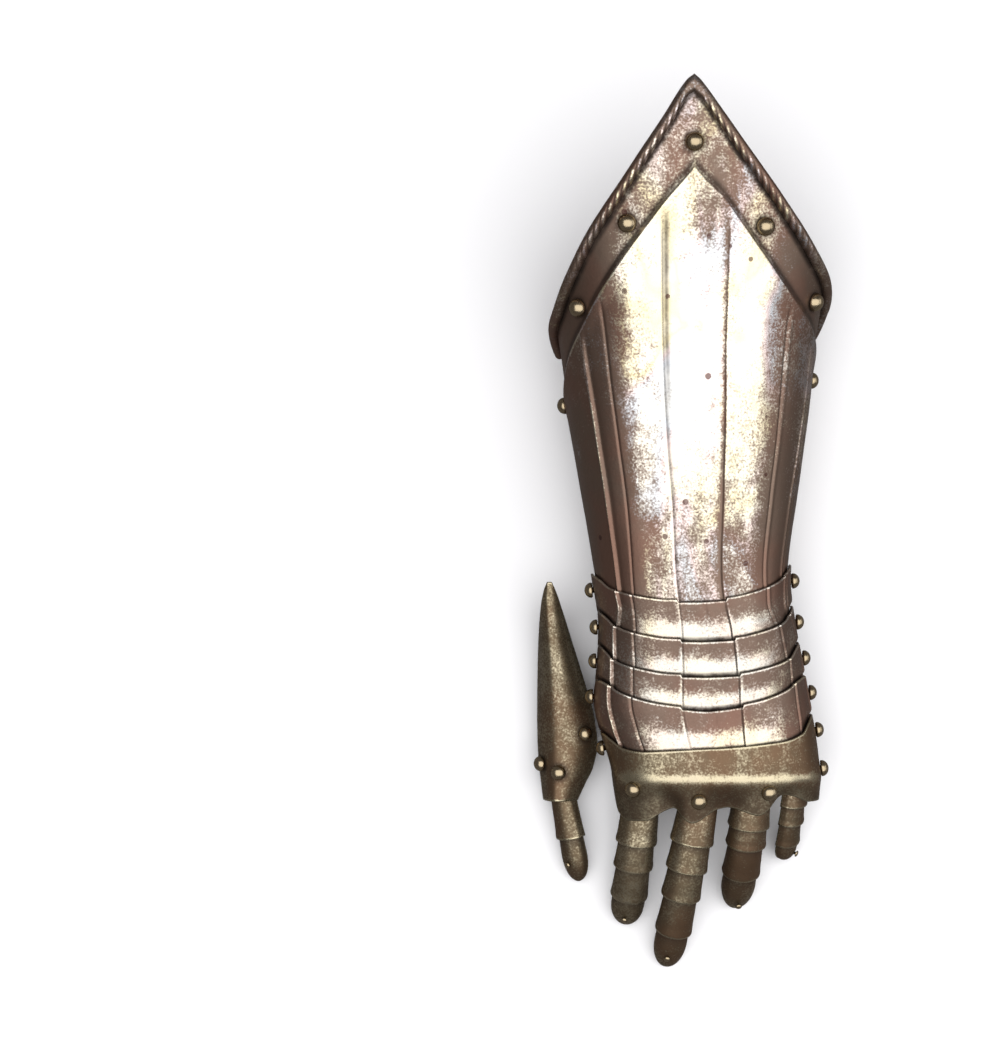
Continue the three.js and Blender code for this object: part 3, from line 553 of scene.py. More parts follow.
def rivet_profile(radius, height, grip, seat):
    """Inner head, shank, then the ball: a quarter ellipse with its lip tucked in."""
    wide, thick = INNER_HEAD
    low = -grip - GAP
    rows = [(0, low - thick), (wide, low - thick), (wide, low), (SHANK, low)]
    rows += [(SHANK, seat - 0.2), (radius * 0.9, seat - 0.25), (radius * 0.985, seat + 0.15)]
    for a in np.linspace(0.1, 1.45, BALL_ROWS):
        rows.append((radius * math.cos(a), seat + 0.3 + (height - 0.3) * math.sin(a)))
    return rows + [(0, seat + height)]


def rivet(name, place, body, node, ball, grip, seat=GAP + 0.1):
    """A rivet with a ball of (radius, height) through metal of the given grip, in place of its solid."""
    mesh = turned(name, rivet_profile(*ball, grip, seat), *place)
    piece(name, mesh, body, "rivets", [node])


# %% [markdown]
# ### Where the cuff is dirty, stained, painted dark and painted bright
# Painted shade darkens the plate round the rivets, at the foot of the step and on the steep sides of both
# step flutes; the groove of the turned edge gets dirt and painted shade. The sides are painted browner as
# shade, two patches in the middle are painted lighter as highlight, and the cuff is browner towards the
# wrist and has two soft stains. The ridges and the upper edge of the step are bright from wear and painted
# highlight. These marks could be painted on an image, but masks worked out from the same tables as the
# shape follow its lines exactly and never blur.

# %% Cuff masks
def nearness(points, places, reach):
    """1 at a rivet, falling to 0 at the given distance: the painted shade round each head."""
    centres = np.array([p for p, _ in places])
    gap = np.linalg.norm(points[:, :, None] - centres, axis=-1).min(-1)
    return smooth(reach, reach * 0.45, gap)


def blob(angle, y, at_angle, at_y, wide, long):
    """A soft round stain: exp of minus the squared distance in angle and station."""
    return np.exp(-(((angle - at_angle) / wide) ** 2) - (((y - at_y) / long) ** 2))


def cuff_masks(angle, y, past):
    """Dirt and painted shade are the largest of the bells round rivets, groove, step and left flute. Stain
    and painted shading are a sum of soft edges and blobs. Wear and painted highlight grow with the height of
    a flute and along the upper edge of the step."""
    rim_gap = cuff_rim(angle) - 2 * RIM_RADIUS * rim_slant(angle) - y
    # painted shade round the border rivets; dirt and painted shade in the groove beside the turned edge
    grime = np.maximum(nearness(cuff_points, BORDER_PLACES, 8.0), smooth(4.0, 0.0, rim_gap))
    # painted shade at the foot of the step
    grime = np.maximum(grime, 0.75 * np.exp(-(((past - 1.0) / 2.6) ** 2)))
    left, right = (curve(FLUTES["y"], FLUTES[k], y) for k in ("left", "right"))
    fluted = smooth(-3, -14, past)
    # painted shade on the steep side of the left step flute
    grime = np.maximum(grime, 0.8 * ridge(angle, left + 2.2, 1, 1.2) * fluted * smooth(40, 100, y))
    grime = np.maximum(grime, 0.5 * ridge(angle, left + 1.2, 1, 0.8) * fluted)
    # a brown line of painted shade on the steep side of the right step flute; browner towards the wrist
    stain = 0.75 * ridge(angle, right - 0.8, 1, 1.5) * fluted + 0.55 * smooth(85, -15, y)
    stain = stain + 0.8 * blob(angle, y, 5, 158, 7, 24) + 0.35 * blob(angle, y, 46, 40, 10, 50)
    # the sides painted browner as shade; the sunk border browner
    stain = stain + 0.85 * smooth(-22, -38, angle) + 0.55 * smooth(27, 44, angle) + 0.5 * smooth(-4, 2, past)
    # two patches in the middle painted lighter as highlight
    stain = stain - 0.3 * blob(angle, y, -2, 90, 16, 60) - 0.3 * blob(angle, y, 22, 105, 9, 60)
    # flute crests brighter: wear and painted highlight
    wear = np.clip(flutes(angle, y) - 0.55, 0, 1) * 2.4 * fluted
    # painted highlight along the upper edge of the step
    wear = np.maximum(wear, 0.7 * np.exp(-(((past + 3.2) / 1.0) ** 2)) * smooth(15, -45, angle))
    return {"grime": grime, "wear": wear, "stain": stain}


# %% Cuff pieces
BORDER_BALL, SIDE_BALL = (4.8, 4.9), (4.3, 4.2)
SIDE_GRIP = 2 * WALL + GAP + 1.6  # the side rivets also go through the palm side plate

marks = cuff_masks(cuff_angle, cuff_y, cuff_past)
plate("cuff", cuff_points, WALL, "cuff", "cuff_steel", ["cuff_plate"], **marks)
for i, place in enumerate(BORDER_PLACES):
    rivet(f"border_ball_{i + 1}", place, "cuff", f"border_rivet_{i + 1}", BORDER_BALL, WALL)
for i, place in enumerate(SIDE_PLACES):
    rivet(f"cuff_side_ball_{i + 1}", place, "cuff", f"cuff_side_rivet_{i + 1}", SIDE_BALL, SIDE_GRIP)

# %% [markdown]
# ## Roped edge
# The edge of the cuff is turned over a wire and filed across at a slant, so that it looks like a rope.
# Two twisted curves would make a loose rope, but this one is filed out of one solid edge. So it is a
# round bar carried along the rim, whose radius drops in slanted grooves: the depth depends on the
# distance along the rim plus the angle round the bar. The filing fades out towards the sides.

# %% Rope
ROPE_RINGS, ROPE_SIDES = 1101, 40
ROPE_PITCH = 6.4  # distance between two grooves along the rim
ROPE_DEPTH = 0.1  # depth of a groove as a share of the radius
ROPE_FADE = (60, 36)  # the filing fades out between these angles


def rope_grid():
    """Bar along the rim: in the plane of the arm and the outward normal its section is an ellipse, stretched
    along the arm where the rim slants. Its radius drops in slanted grooves on the inner half only."""
    even = np.linspace(-1, 1, ROPE_RINGS)
    angle = np.sign(even) * np.abs(even) ** 1.1 * CUFF_SPAN
    slant = rim_slant(angle)
    y = cuff_rim(angle) - RIM_RADIUS * slant
    centre, above = tube(angle, y, 0.4), tube(angle, y, 1.4)
    out = unit(above - centre)
    arm = np.array([0.0, 1.0, 0.0]) - out * out[:, 1:2]
    turn = np.radians(np.linspace(0, 360, ROPE_SIDES + 1))
    length = np.concatenate([[0], np.cumsum(np.linalg.norm(np.diff(centre, axis=0), axis=1))])
    length = np.abs(length - length[ROPE_RINGS // 2])
    wave = np.abs(np.sin(np.pi * length[:, None] / ROPE_PITCH - turn))
    filed = smooth(*ROPE_FADE, np.abs(angle))[:, None] * smooth(4, 10, length)[:, None]
    inner = smooth(-0.15, 0.5, -np.cos(turn))
    groove = (1 - wave) ** 2 * filed * inner
    radius = RIM_RADIUS * (1 - ROPE_DEPTH * groove)
    ring = (np.cos(turn) * radius * slant[:, None])[..., None] * arm[:, None]
    ring = ring + (np.sin(turn) * radius)[..., None] * out[:, None]
    # painted highlight on the strands between the grooves
    painted_glint = filed * inner * wave ** 6
    return centre[:, None] + ring, groove, painted_glint


def bar_mesh(name, grid, **numbers):
    """A bar from rings of points whose last column repeats the first, with a fan across each end."""
    rows, count = grid.shape[0], grid.shape[1] - 1
    body = grid[:, :-1]
    points = np.concatenate([body.reshape(-1, 3), [body[0].mean(0), body[-1].mean(0)]])
    index = np.arange(rows * count).reshape(rows, count)
    after = np.roll(index, -1, 1)
    quads = np.stack([index[:-1], index[1:], after[1:], after[:-1]], -1).reshape(-1, 4)
    first, last = rows * count, rows * count + 1
    fans = [np.stack([index[0], after[0], np.full(count, first)], -1)]
    fans.append(np.stack([after[-1], index[-1], np.full(count, last)], -1))
    mesh = bpy.data.meshes.new(name)
    mesh.from_pydata(((points + SHIFT) * MM).tolist(), [], quads.tolist() + np.concatenate(fans).tolist())
    mesh.shade_smooth()
    keep_numbers(mesh, {k: np.concatenate([v[:, :-1].ravel(), [0, 0]]) for k, v in numbers.items()})
    return mesh


# %% Roped edge
ROPE_STAIN = 0.85
FAR_FROM_EDGE = 10.0  # a bar has no cut edge, so its points count as far from one

rope_points, groove, painted_glint = rope_grid()
level = np.ones_like(groove)
# darker in the filed grooves; the strands get a painted highlight
rope_masks = dict(grime=groove, wear=0.7 * painted_glint, stain=ROPE_STAIN * level, edge=FAR_FROM_EDGE * level)
rope = bar_mesh("roped_edge", rope_points, **rope_masks)
piece("roped_edge", rope, "cuff", "cuff_steel", ["cuff_plate"])
print("roped_edge:", len(rope.polygons), "faces")

# %% [markdown]
# ## Palm side plate
# A plain plate closes the cuff under the arm and lies inside the cuff plate at both sides. The cuff could
# be one closed tube, but a smith makes it from two sheets, and the overlap shows from below. It is the
# same tube one wall further in, and its rim is turned inwards in part of a circle.

# %% Palm side plate
PALM_SPAN = (84, 276)  # from one side of the arm under it to the other, in degrees from the crest
PALM_START = -26  # wrist end
ROLL_RADIUS = 2.1
ROLL_TURN = 200  # degrees of the turned rim


def inner_surface():
    """From the wrist to the rim, then a roll inwards: radius times sine along the arm and radius times cosine
    away from it. The roll fades out where the cuff plate begins to cover this one."""
    round_arm = np.linspace(*PALM_SPAN, 150)
    angle = np.where(round_arm > 180, round_arm - 360, round_arm)[:, None]
    size = np.abs(angle)
    full = smooth(CUFF_SPAN, 122, size)
    under = -WALL - GAP - 0.25
    sunk = SUNK * (1 - smooth(CUFF_SPAN, 118, size))
    radius = WALL / 2 + (ROLL_RADIUS - WALL / 2) * full
    rim = cuff_rim(angle) - 9 * (1 - full)
    start = PALM_START + 10 * smooth(114, 100, size)
    y = start + np.linspace(0, 1, 70)[None] * (rim - radius - start)
    lift = under - sunk * smooth(cuff_step(angle) - 9, cuff_step(angle) - 2, y)
    flat = tube(angle, y, lift)
    bend = np.radians(np.linspace(0, ROLL_TURN, 16))[None, 1:]
    y_roll = rim - radius + radius * np.sin(bend)
    lift_roll = under - sunk - radius + radius * np.cos(bend)
    floor = radius * (1 - np.cos(bend))
    low = tube(angle, y_roll, lift_roll)
    low[..., 2] = np.maximum(low[..., 2], floor)
    return np.concatenate([flat, low], 1)


plate("cuff_palm_plate", inner_surface(), WALL, "cuff", "plate_steel", ["cuff_inner_plate"])

# %% [markdown]
# ## Wrist lames and the back of the hand
# Each plate lies over the one nearer the elbow and is held by a rivet at each side, so the wrist can
# bend. One plate could be copied four times, but the hand widens towards the knuckles and the flutes run
# on through all of them. So each plate is the common skin between two pivot lines, highest at its near
# edge and dipping under the next plate at its far end. Its near edge has a small notch at both step
# flutes.

# %% Hand plates
HAND_SPAN = 110  # a hand plate ends this many degrees from the crest on both sides
NOTCH = 1.5  # the near edge stands back this far between the step flutes


def hand_layer(angle, y, near, following, far):
    """Height over the skin: falls from the near edge to nothing at the next edge, then tucks under."""
    side = smooth(50, 80, np.abs(angle))
    t = (near - y) / (near - following)
    slope = LIFT * (1 - np.clip(t, 0, 1))
    flat = LIFT * (1 - smooth(0.78, 0.98, t))
    tuck = np.where(y < following, TUCK * (following - y) / (following - far), 0)
    return slope * (1 - side) + flat * side - tuck * smooth(88, 68, np.abs(angle))


def hand_plate(name, pivot, near_table, next_pivot, next_table, body, node):
    """The skin between two edges, plus its layer height, the flutes and the hammer marks. Wear and painted
    highlight follow the flutes, and a painted highlight lies on the middle of the plate's far part. A painted
    shadow darkens its covered end, and painted shading makes its near part and its sides browner."""
    angle = angle_grid(-HAND_SPAN, HAND_SPAN, 250)[:, None]
    near = near_edge(pivot, near_table, angle)
    following = near_edge(next_pivot, next_table, angle)
    far = near_edge(next_pivot, FAR_EDGE, angle)
    rows = np.linspace(0, 1, 60)[None]
    y = near + rows * (far - near)
    lift = hand_layer(angle, y, near, following, far)
    left, right = (curve(FLUTES["y"], FLUTES[k], near) for k in ("left", "right"))
    step = smooth(-0.4, 0.6, angle - left) * smooth(0.4, -0.6, angle - right)
    y = y - NOTCH * step * smooth(0.3, 0, rows)
    lift = lift + flutes(angle, y) + hammer(angle * 1.3 + 40, y, 0.08)
    share = (near - y) / (near - following)
    middle = smooth(46, 22, np.abs(angle - 3))
    # wear and painted highlight on the flutes; painted highlight on the far middle of the plate
    wear = np.clip(flutes(angle, y) - 0.5, 0, 1) * 2.0 + 0.55 * smooth(0.45, 0.75, share) * middle
    # painted shadow where the next plate covers this one
    cover = smooth(2.2, 0.2, y - following)
    # painted shading: lighter on the far middle, browner near the near edge
    stain = 0.75 - 0.35 * middle * smooth(0.3, 0.7, share) + 0.2 * smooth(0.5, 0, share)
    plate(name, skin(angle, y, lift), WALL, body, "plate_steel", [node], wear=wear, grime=cover, stain=stain)


HAND_PLATES = [
    ("wrist_lame_one", LAME_EDGE, LAME_EDGE, "wrist_1", "wrist_lame_1"),
    ("wrist_lame_two", LAME_EDGE, LAME_EDGE, "wrist_2", "wrist_lame_2"),
    ("wrist_lame_three", LAME_EDGE, METACARPAL_EDGE, "wrist_3", "wrist_lame_3"),
    ("back_of_hand", METACARPAL_EDGE, KNUCKLE_EDGE, "metacarpal", "metacarpal_plate"),
]
for i, (name, near_table, next_table, body, node) in enumerate(HAND_PLATES):
    hand_plate(name, PIVOTS[i], near_table, PIVOTS[i + 1], next_table, body, node)

# %% Pivot rivets
PIVOT_BALL, PIVOT_GRIP, PIVOT_SEAT = (4, 3.9), 2 * WALL + 1.6, 0.9
PIVOT_BODIES = ["cuff", "wrist_1", "wrist_2", "wrist_3", "metacarpal"]
for i, (pivot, body) in enumerate(zip(PIVOTS, PIVOT_BODIES)):
    for side, place in zip(("left", "right"), pivot_places(pivot)):
        label = f"{i + 1}_{side}"
        rivet(f"pivot_ball_{label}", place, body, f"pivot_{label}", PIVOT_BALL, PIVOT_GRIP, PIVOT_SEAT)

# %% [markdown]
# ## Knuckle plate
# The last plate has a rounded ridge across the knuckles and four cusps, one over the root of each finger.
# Four domes could be joined to a band, but the joins would crease. Here the cusps are the skin itself
# with valleys pressed in between them, as they are beaten from one sheet, and the far edge is scalloped.

# %% Knuckle plate
CUSP_EDGE = {
    "angle": [-110, -88, -74, -58, -40, -24, -11, 2.5, 17, 34, 58, 78, 100, 110],
    "y": [-126, -131, -143, -147, -146.5, -140, -147.5, -139.5, -143.5, -133, -137, -137, -127, -120],
}
VALLEYS = np.array([-24, 2.5, 34])  # angles of the valleys between the fingers
VALLEY_WIDTH, VALLEY_DEPTH = 6.5, 5.0
VALLEY_START, VALLEY_END = -127, -141
CREST_Y, CREST_HEIGHT, CREST_WIDTH = -124.5, 2.2, 7.0


def knuckle_lift(angle, y, near):
    """Ridge across the knuckles minus the deepest valley at this angle."""
    size = np.abs(angle)
    crest = CREST_HEIGHT * np.exp(-(((y - CREST_Y) / CREST_WIDTH) ** 2)) * smooth(88, 62, size)
    depth = VALLEY_DEPTH * smooth(VALLEY_START, VALLEY_END, y)
    bells = np.exp(-(((np.asarray(angle)[..., None] - VALLEYS) / VALLEY_WIDTH) ** 2)).max(-1)
    return LIFT - 0.5 * smooth(near, CREST_Y, y) + crest - depth * bells


def knuckle_plate():
    """The skin from the near edge to the scalloped one, plus the knuckle height. The ridge gets a painted
    highlight.
    """
    angle = np.linspace(-HAND_SPAN, HAND_SPAN, 300)[:, None]
    near = near_edge(PIVOTS[4], KNUCKLE_EDGE, angle)
    far = curve(CUSP_EDGE["angle"], CUSP_EDGE["y"], angle)
    y = near + np.linspace(0, 1, 80)[None] * (far - near)
    lift = knuckle_lift(angle + 0 * y, y, near)
    points = skin(angle, y, lift)
    # painted highlight along the ridge
    wear = np.exp(-(((y - CREST_Y) / 2.2) ** 2)) * smooth(75, 50, np.abs(angle))
    # darker towards the scalloped edge
    plate("knuckles", points, WALL, "hand", "finger_steel", ["knuckle_plate"],
          wear=wear * 0.9, stain=0.5, grime=0.45 * smooth(-128, -136, y))


knuckle_plate()

# %% Cusp rivets
CUSP_BALL = (4.2, 3.8)
KNUCKLE_NEAR = -109.0  # the near edge at the middle of the hand
CUSPS = [("index", -50, -130.5), ("middle", -8, -136), ("ring", 22, -131.5), ("little", 82, -121)]
for finger_name, angle, y in CUSPS:
    place = place_on(lambda a, b: skin(a, b, knuckle_lift(a, b, KNUCKLE_NEAR)), angle, y)
    rivet(f"{finger_name}_cusp_ball", place, "hand", f"{finger_name}_cusp_rivet", CUSP_BALL, WALL)

# %% [markdown]
# ## Fingers and thumb
# Each finger is a chain of small gutters, one inside the next, riveted to leather. They could be boxes
# bent by a modifier, but then neighbours would not nest. A finger is a gently arched line with a half
# round section carried along it, so each scale is a stretch of the same finger, and it flares out a
# little at its far edge.

# %% Finger sections
SCALE_WALL = 1.0
SCALE_STEP = 1.5  # the hidden end of a scale is this much smaller than its far edge
SCALE_SPAN, SCALE_SKIRT = 105, 2.5  # half of a scale's turn in degrees, and its straight drop past a quarter
TIP_END = 1.08  # the round end of a fingertip, as a share of the finger's line
# base and tip of the line, rise of its arch, roll in degrees, half width and height, share where each scale
# starts and how far it reaches back under the one before
FINGERS = [
    dict(name="index", base=(-21.3, -137, 33.5), tip=(-27.8, -200, 4.7), bulge=5, roll=-8,
         side=11.4, depth=9, tip_side=9.4, starts=(0, 0.35, 0.56, 0.82), cover=0.09),
    dict(name="middle", base=(8.2, -137, 41), tip=(-5.8, -221, 5.6), bulge=6.5, roll=-4,
         side=12, depth=9.6, tip_side=9.2, starts=(0, 0.25, 0.42, 0.6, 0.83), cover=0.07),
    dict(name="ring", base=(36.2, -132, 39.5), tip=(30.2, -191.5, 5.5), bulge=6.5, roll=8,
         side=11.4, depth=9, tip_side=9.4, starts=(0, 0.3, 0.47, 0.74), cover=0.09),
    dict(name="little", base=(59.5, -124, 25.5), tip=(55.8, -167, 5.8), bulge=3, roll=62,
         side=9.6, depth=8.6, tip_side=7.6, starts=(0, 0.36, 0.58, 0.84), cover=0.1),
]
THUMB = dict(name="thumb", base=(-62.8, -130, 10.6), tip=(-53.4, -179, 4.4), bulge=3, roll=-42,
             side=8.4, depth=7.6, tip_side=7.6, starts=(0, 0.58), cover=0.1)


def finger_points(finger, t, angle, inset, shrink):
    """Centre line plus a half ellipse across it: side times sine, back times cosine, and straight skirts."""
    base, tip = np.array(finger["base"], float), np.array(finger["tip"], float)
    given = np.broadcast_arrays(t, angle, inset, shrink)
    t, angle, inset, shrink = (np.asarray(value, float)[..., None] for value in given)
    up = np.array([0.0, 0.0, 1.0])
    centre = base + (tip - base) * t + up * (4 * finger["bulge"] * t * (1 - t))
    along = unit(tip - base + up * (4 * finger["bulge"] * (1 - 2 * t)))
    flat = unit(np.cross(up, along))
    roll = -math.radians(finger["roll"])
    side = flat * math.cos(roll) + np.cross(along, flat) * math.sin(roll)
    back = np.cross(along, side)
    half = (finger["side"] + (finger["tip_side"] - finger["side"]) * t - inset) * shrink
    depth = (finger["depth"] + (finger["tip_side"] * 0.85 - finger["depth"]) * t - inset) * shrink
    a = np.radians(np.clip(angle, -QUARTER, QUARTER))
    drop = np.maximum(0, np.abs(angle) - QUARTER) / (SCALE_SPAN - QUARTER) * SCALE_SKIRT * shrink
    return centre + side * half * np.sin(a) + back * (depth * np.cos(a) - drop)


def open_scale(finger, t0, t1):
    """A gutter from its hidden near end to its flared far edge: the inset falls evenly, then by the lip."""
    angle = np.linspace(-SCALE_SPAN, SCALE_SPAN, 66)[:, None]
    v = np.linspace(0, 1, 30)[None]
    lip = 0.25 * smooth(0.8, 1.0, v)
    inset = (SCALE_STEP + 0.4) * (1 - v) - lip + 0.15
    return finger_points(finger, t0 + v * (t1 - t0), angle, inset, 1.0), v


def round_tip(finger, t0):
    """A gutter that draws in along a quarter circle to a round end."""
    angle = np.linspace(-SCALE_SPAN, SCALE_SPAN, 66)[:, None]
    v = (1 - (1 - np.linspace(0, 1, 44)) ** 1.6)[None]
    inset = (SCALE_STEP + 0.4) * np.maximum(0, 1 - 1.1 * v)
    shrink = np.sqrt(np.maximum(0.0064, 1 - np.maximum(0, (v - 0.45) / 0.55) ** 2))
    return finger_points(finger, t0 + v * (TIP_END - t0), angle, inset, shrink), v


# %% [markdown]
# ### Scales
# A scale is brighter at its far edge, as wear and painted highlight, and darker where it comes out from
# under its neighbour. Each one stays a piece of its own, because on the real glove they slide over one
# another when the leather bends.

# %% Finger pieces
def make_scales(finger, body, names):
    """All scales of one finger, bright at their far edges from wear and painted highlight, and darker where a
    scale comes out from under another.
    """
    starts = finger["starts"]
    for i, start in enumerate(starts):
        last = i == len(starts) - 1
        near = start - (finger["cover"] if i else 0)
        end = TIP_END if last else starts[i + 1]
        points, v = round_tip(finger, near) if last else open_scale(finger, near, end)
        hidden = (start - near) / (end - near)
        # darker where the scale comes out from under the one before
        grime = smooth(hidden + 0.28, hidden, v) + 0 * points[..., 0]
        label, node = names[i]
        plate(label, points, SCALE_WALL, body, "finger_steel", [node], grime=grime * 0.6, stain=0.55)


for finger in FINGERS:
    count = len(finger["starts"]) - 1
    names = [(f"{finger['name']}_plate_{i + 1}", f"{finger['name']}_scale_{i + 1}") for i in range(count)]
    make_scales(finger, "hand", names + [(f"{finger['name']}_end", f"{finger['name']}_tip")])
make_scales(THUMB, "metacarpal", [("thumb_middle", "thumb_scale"), ("thumb_end", "thumb_tip")])

# %% [markdown]
# ### Thumb plate
# A long leaf-shaped plate guards the thumb and the side of the wrist. It is a shallow shield with a
# crease, and a flat outline with a thickness would look lifeless. Its height falls off slowly, then
# steeply, to both sides, which gives the soft ridge along it.

# %% Thumb plate
LEAF = {
    "y": [-139, -131, -122, -110, -95, -79, -55, -38, -29, -25],
    "left": [-71.8, -72.8, -73.8, -74.6, -74.9, -74.8, -74.3, -73.2, -71.6, -70],
    "right": [-53.5, -49.8, -45.6, -43.4, -45.2, -49.6, -57, -62.4, -65.6, -67.6],
    "top": [24, 24.8, 25.6, 26.4, 27.2, 28, 28.4, 28.4, 28, 27.6],
}
LEAF_LEFT_DROP, LEAF_RIGHT_DROP = 15, 11


def leaf(p, y):
    """Across the leaf the height falls by the sixth power towards the left side and the cube to the right."""
    p, y = np.broadcast_arrays(np.asarray(p, float), np.asarray(y, float))
    left, right, top = (curve(LEAF["y"], LEAF[k], y) for k in ("left", "right", "top"))
    fall = (LEAF_LEFT_DROP * (1 - p) ** 6 + LEAF_RIGHT_DROP * p ** 3) * smooth(0, 24, right - left)
    return np.stack([left + (right - left) * p, y, top - fall], -1)


THUMB_BALL, THUMB_GRIP, THUMB_SEAT = (4, 3.8), WALL + 0.6, 0.7
LEAF_RIVETS = [(79, -104), (36, -124), (6, -120)]  # percent of the way across, and station
leaf_across = np.linspace(0, 1, 70)[:, None]
leaf_along = np.concatenate([np.linspace(-139, -32, 100), np.linspace(-31.5, -25, 18)])[None]
leaf_points = leaf(leaf_across, leaf_along)
LEAF_PLACES = [place_on(lambda a, b: leaf(a / 100, b), *spot) for spot in LEAF_RIVETS]
# painted shade round the thumb rivets
plate("thumb_leaf", leaf_points, WALL, "metacarpal", "finger_steel", ["thumb_plate"],
      grime=nearness(leaf_points, LEAF_PLACES, 7.0) * 0.7, stain=0.45)
for i, place in enumerate(LEAF_PLACES):
    node = f"thumb_rivet_{i + 1}"
    rivet(f"thumb_ball_{i + 1}", place, "metacarpal", node, THUMB_BALL, THUMB_GRIP, THUMB_SEAT)

# %% [markdown]
# ### Small rivets at the finger ends
# One small round head near the end of each finger holds the last scale to its leather. A dot in the
# colour would do from afar, but a real head catches the light, so it is turned like the others.

# %% Small rivets
SMALL_PROFILE = [
    (0, -1.2), (0.8, -1.2), (0.8, 0.0), (1.7, 0.05),
    (1.6, 0.5), (1.1, 0.85), (0.5, 1.0), (0, 1.05),
]


def small_rivet(finger, t, body):
    """A small head on the back of a finger, facing along the normal of the finger's surface."""
    def at(a, b):
        return finger_points(finger, b, a, 0.0, 1.0)

    point = at(0.0, t)
    normal = unit(np.cross(at(0.0, t + 0.02) - at(0.0, t - 0.02), at(4.0, t) - at(-4.0, t)))
    mesh = turned(f"{finger['name']}_end_rivet", SMALL_PROFILE, point, normal, 20)
    piece(f"{finger['name']}_end_rivet", mesh, body, "rivets", [])


for finger in FINGERS:
    small_rivet(finger, 0.97, "hand")
small_rivet(THUMB, 0.85, "metacarpal")

# %% [markdown]
# ## Finishes
# The steel is bright where it is rubbed and brown where it is not, and the change from one to the other
# is what tells its age. An image texture would have to be unwrapped over every plate. Here the
# colours are worked out by shader nodes in the object's own space, so the mottling runs on from plate to
# plate and has no seams. Small helpers come first: each adds one node, links or sets its inputs and hands
# back its output.

# %% Node helpers
def new_group(name, inputs, outputs):
    """An empty node group with named sockets. Each socket is (name, kind, start value)."""
    tree = bpy.data.node_groups.new(name, "ShaderNodeTree")
    for way, sockets in (("INPUT", inputs), ("OUTPUT", outputs)):
        for label, kind, start in sockets:
            socket = tree.interface.new_socket(name=label, in_out=way, socket_type=f"NodeSocket{kind}")
            if start is not None:
                socket.default_value = start
    return tree, tree.nodes.new("NodeGroupInput"), tree.nodes.new("NodeGroupOutput")


def feed(tree, node, inputs):
    """Sets or links the inputs of a node, by name or number."""
    for key, value in inputs.items():
        socket = node.inputs[key]
        if isinstance(value, bpy.types.NodeSocket):
            tree.links.new(value, socket)
        else:
            socket.default_value = value


def maths(tree, operation, *values, clamp=False):
    """One sum, product or other operation on numbers or sockets."""
    node = tree.nodes.new("ShaderNodeMath")
    node.operation, node.use_clamp = operation, clamp
    feed(tree, node, dict(enumerate(values)))
    return node.outputs[0]


def ramp(tree, value, low, high, start=0.0, end=1.0):
    """Smoothly takes a value from one range to another."""
    node = tree.nodes.new("ShaderNodeMapRange")
    node.interpolation_type = "SMOOTHSTEP"
    feed(tree, node, {"Value": value, "From Min": low, "From Max": high, "To Min": start, "To Max": end})
    return node.outputs[0]


def blend(tree, factor, a, b, kind="MIX"):
    """Mixes or multiplies two colours. Inputs 6 and 7 of the node are its two colours, output 2 their mix."""
    node = tree.nodes.new("ShaderNodeMix")
    node.data_type, node.blend_type = "RGBA", kind
    feed(tree, node, {0: factor, 6: a, 7: b})
    return node.outputs[2]


def noise(tree, place, scale, detail=4.0, rough=0.55, bend=0.0):
    """Cloudy noise between 0 and 1. Scale counts its waves per metre."""
    node = tree.nodes.new("ShaderNodeTexNoise")
    feed(tree, node, {"Vector": place, "Scale": scale, "Detail": detail})
    feed(tree, node, {"Roughness": rough, "Distortion": bend})
    return node.outputs["Fac"]


def stretched(tree, place, scale, shift=(0, 0, 0)):
    """The same place with each axis scaled, so that a pattern comes out long or moved aside."""
    node = tree.nodes.new("ShaderNodeMapping")
    feed(tree, node, {"Vector": place, "Scale": scale, "Location": shift})
    return node.outputs[0]


def kept_number(tree, name):
    """A number kept on each point of the plates."""
    node = tree.nodes.new("ShaderNodeAttribute")
    node.attribute_name = name
    return node.outputs["Fac"]


# %% [markdown]
# ## Aged steel
# Old bright steel turns brown where damp air and hands reached it. Patches the size of a palm, mottling
# of a few millimetres and grains under a millimetre are three noises added together, and the sum is cut
# by a soft threshold. The numbers kept on each plate push it: stains and painted shading towards brown,
# dirt and painted shade towards a dark colour, wear and painted highlight towards bright metal, and the
# cut edges are made brighter as wear and painted highlight. Heat and oil leave thin films, which tint the
# bright parts straw, violet and blue. Rust pits are small round cells of a Voronoi pattern. Every steel
# could be its own material, but all of them aged in the same air, so every steel uses this one group with
# its own colours.

# %% Parts of the steel group
PATCH, MOTTLE, GRAIN = (22, 1.5), (120, 1.3), (900, 1.9)  # scale of each noise and its weight in the age
PIT_SCALE, PIT_REACH = 95.0, 0.17
FILM_COLOURS = [
    (0.3, (1, 0.98, 0.95)), (0.4, (1.0, 0.9, 0.6)), (0.47, (1, 0.97, 0.86)),
    (0.53, (0.93, 0.78, 0.86)), (0.59, (0.74, 0.82, 1.0)), (0.68, (1, 0.99, 0.97)),
]


def around_zero(tree, value, weight):
    """A noise moved to lie round zero, times its weight."""
    return maths(tree, "MULTIPLY", maths(tree, "SUBTRACT", value, 0.5), weight)


def film_tint(tree, place):
    """Colours of a thin film, straw to violet to blue, read off a ramp by a slow noise."""
    film = tree.nodes.new("ShaderNodeValToRGB")
    drawn_out = stretched(tree, place, (1, 0.5, 1), (0.3, 0.1, 0.2))
    feed(tree, film, {"Fac": noise(tree, drawn_out, 26, 3, 0.5, 0.8)})
    stops = film.color_ramp.elements
    for i, (at, colour) in enumerate(FILM_COLOURS):
        stop = stops[i] if i < 2 else stops.new(at)
        stop.position, stop.color = at, (*colour, 1)
    return film.outputs[0]


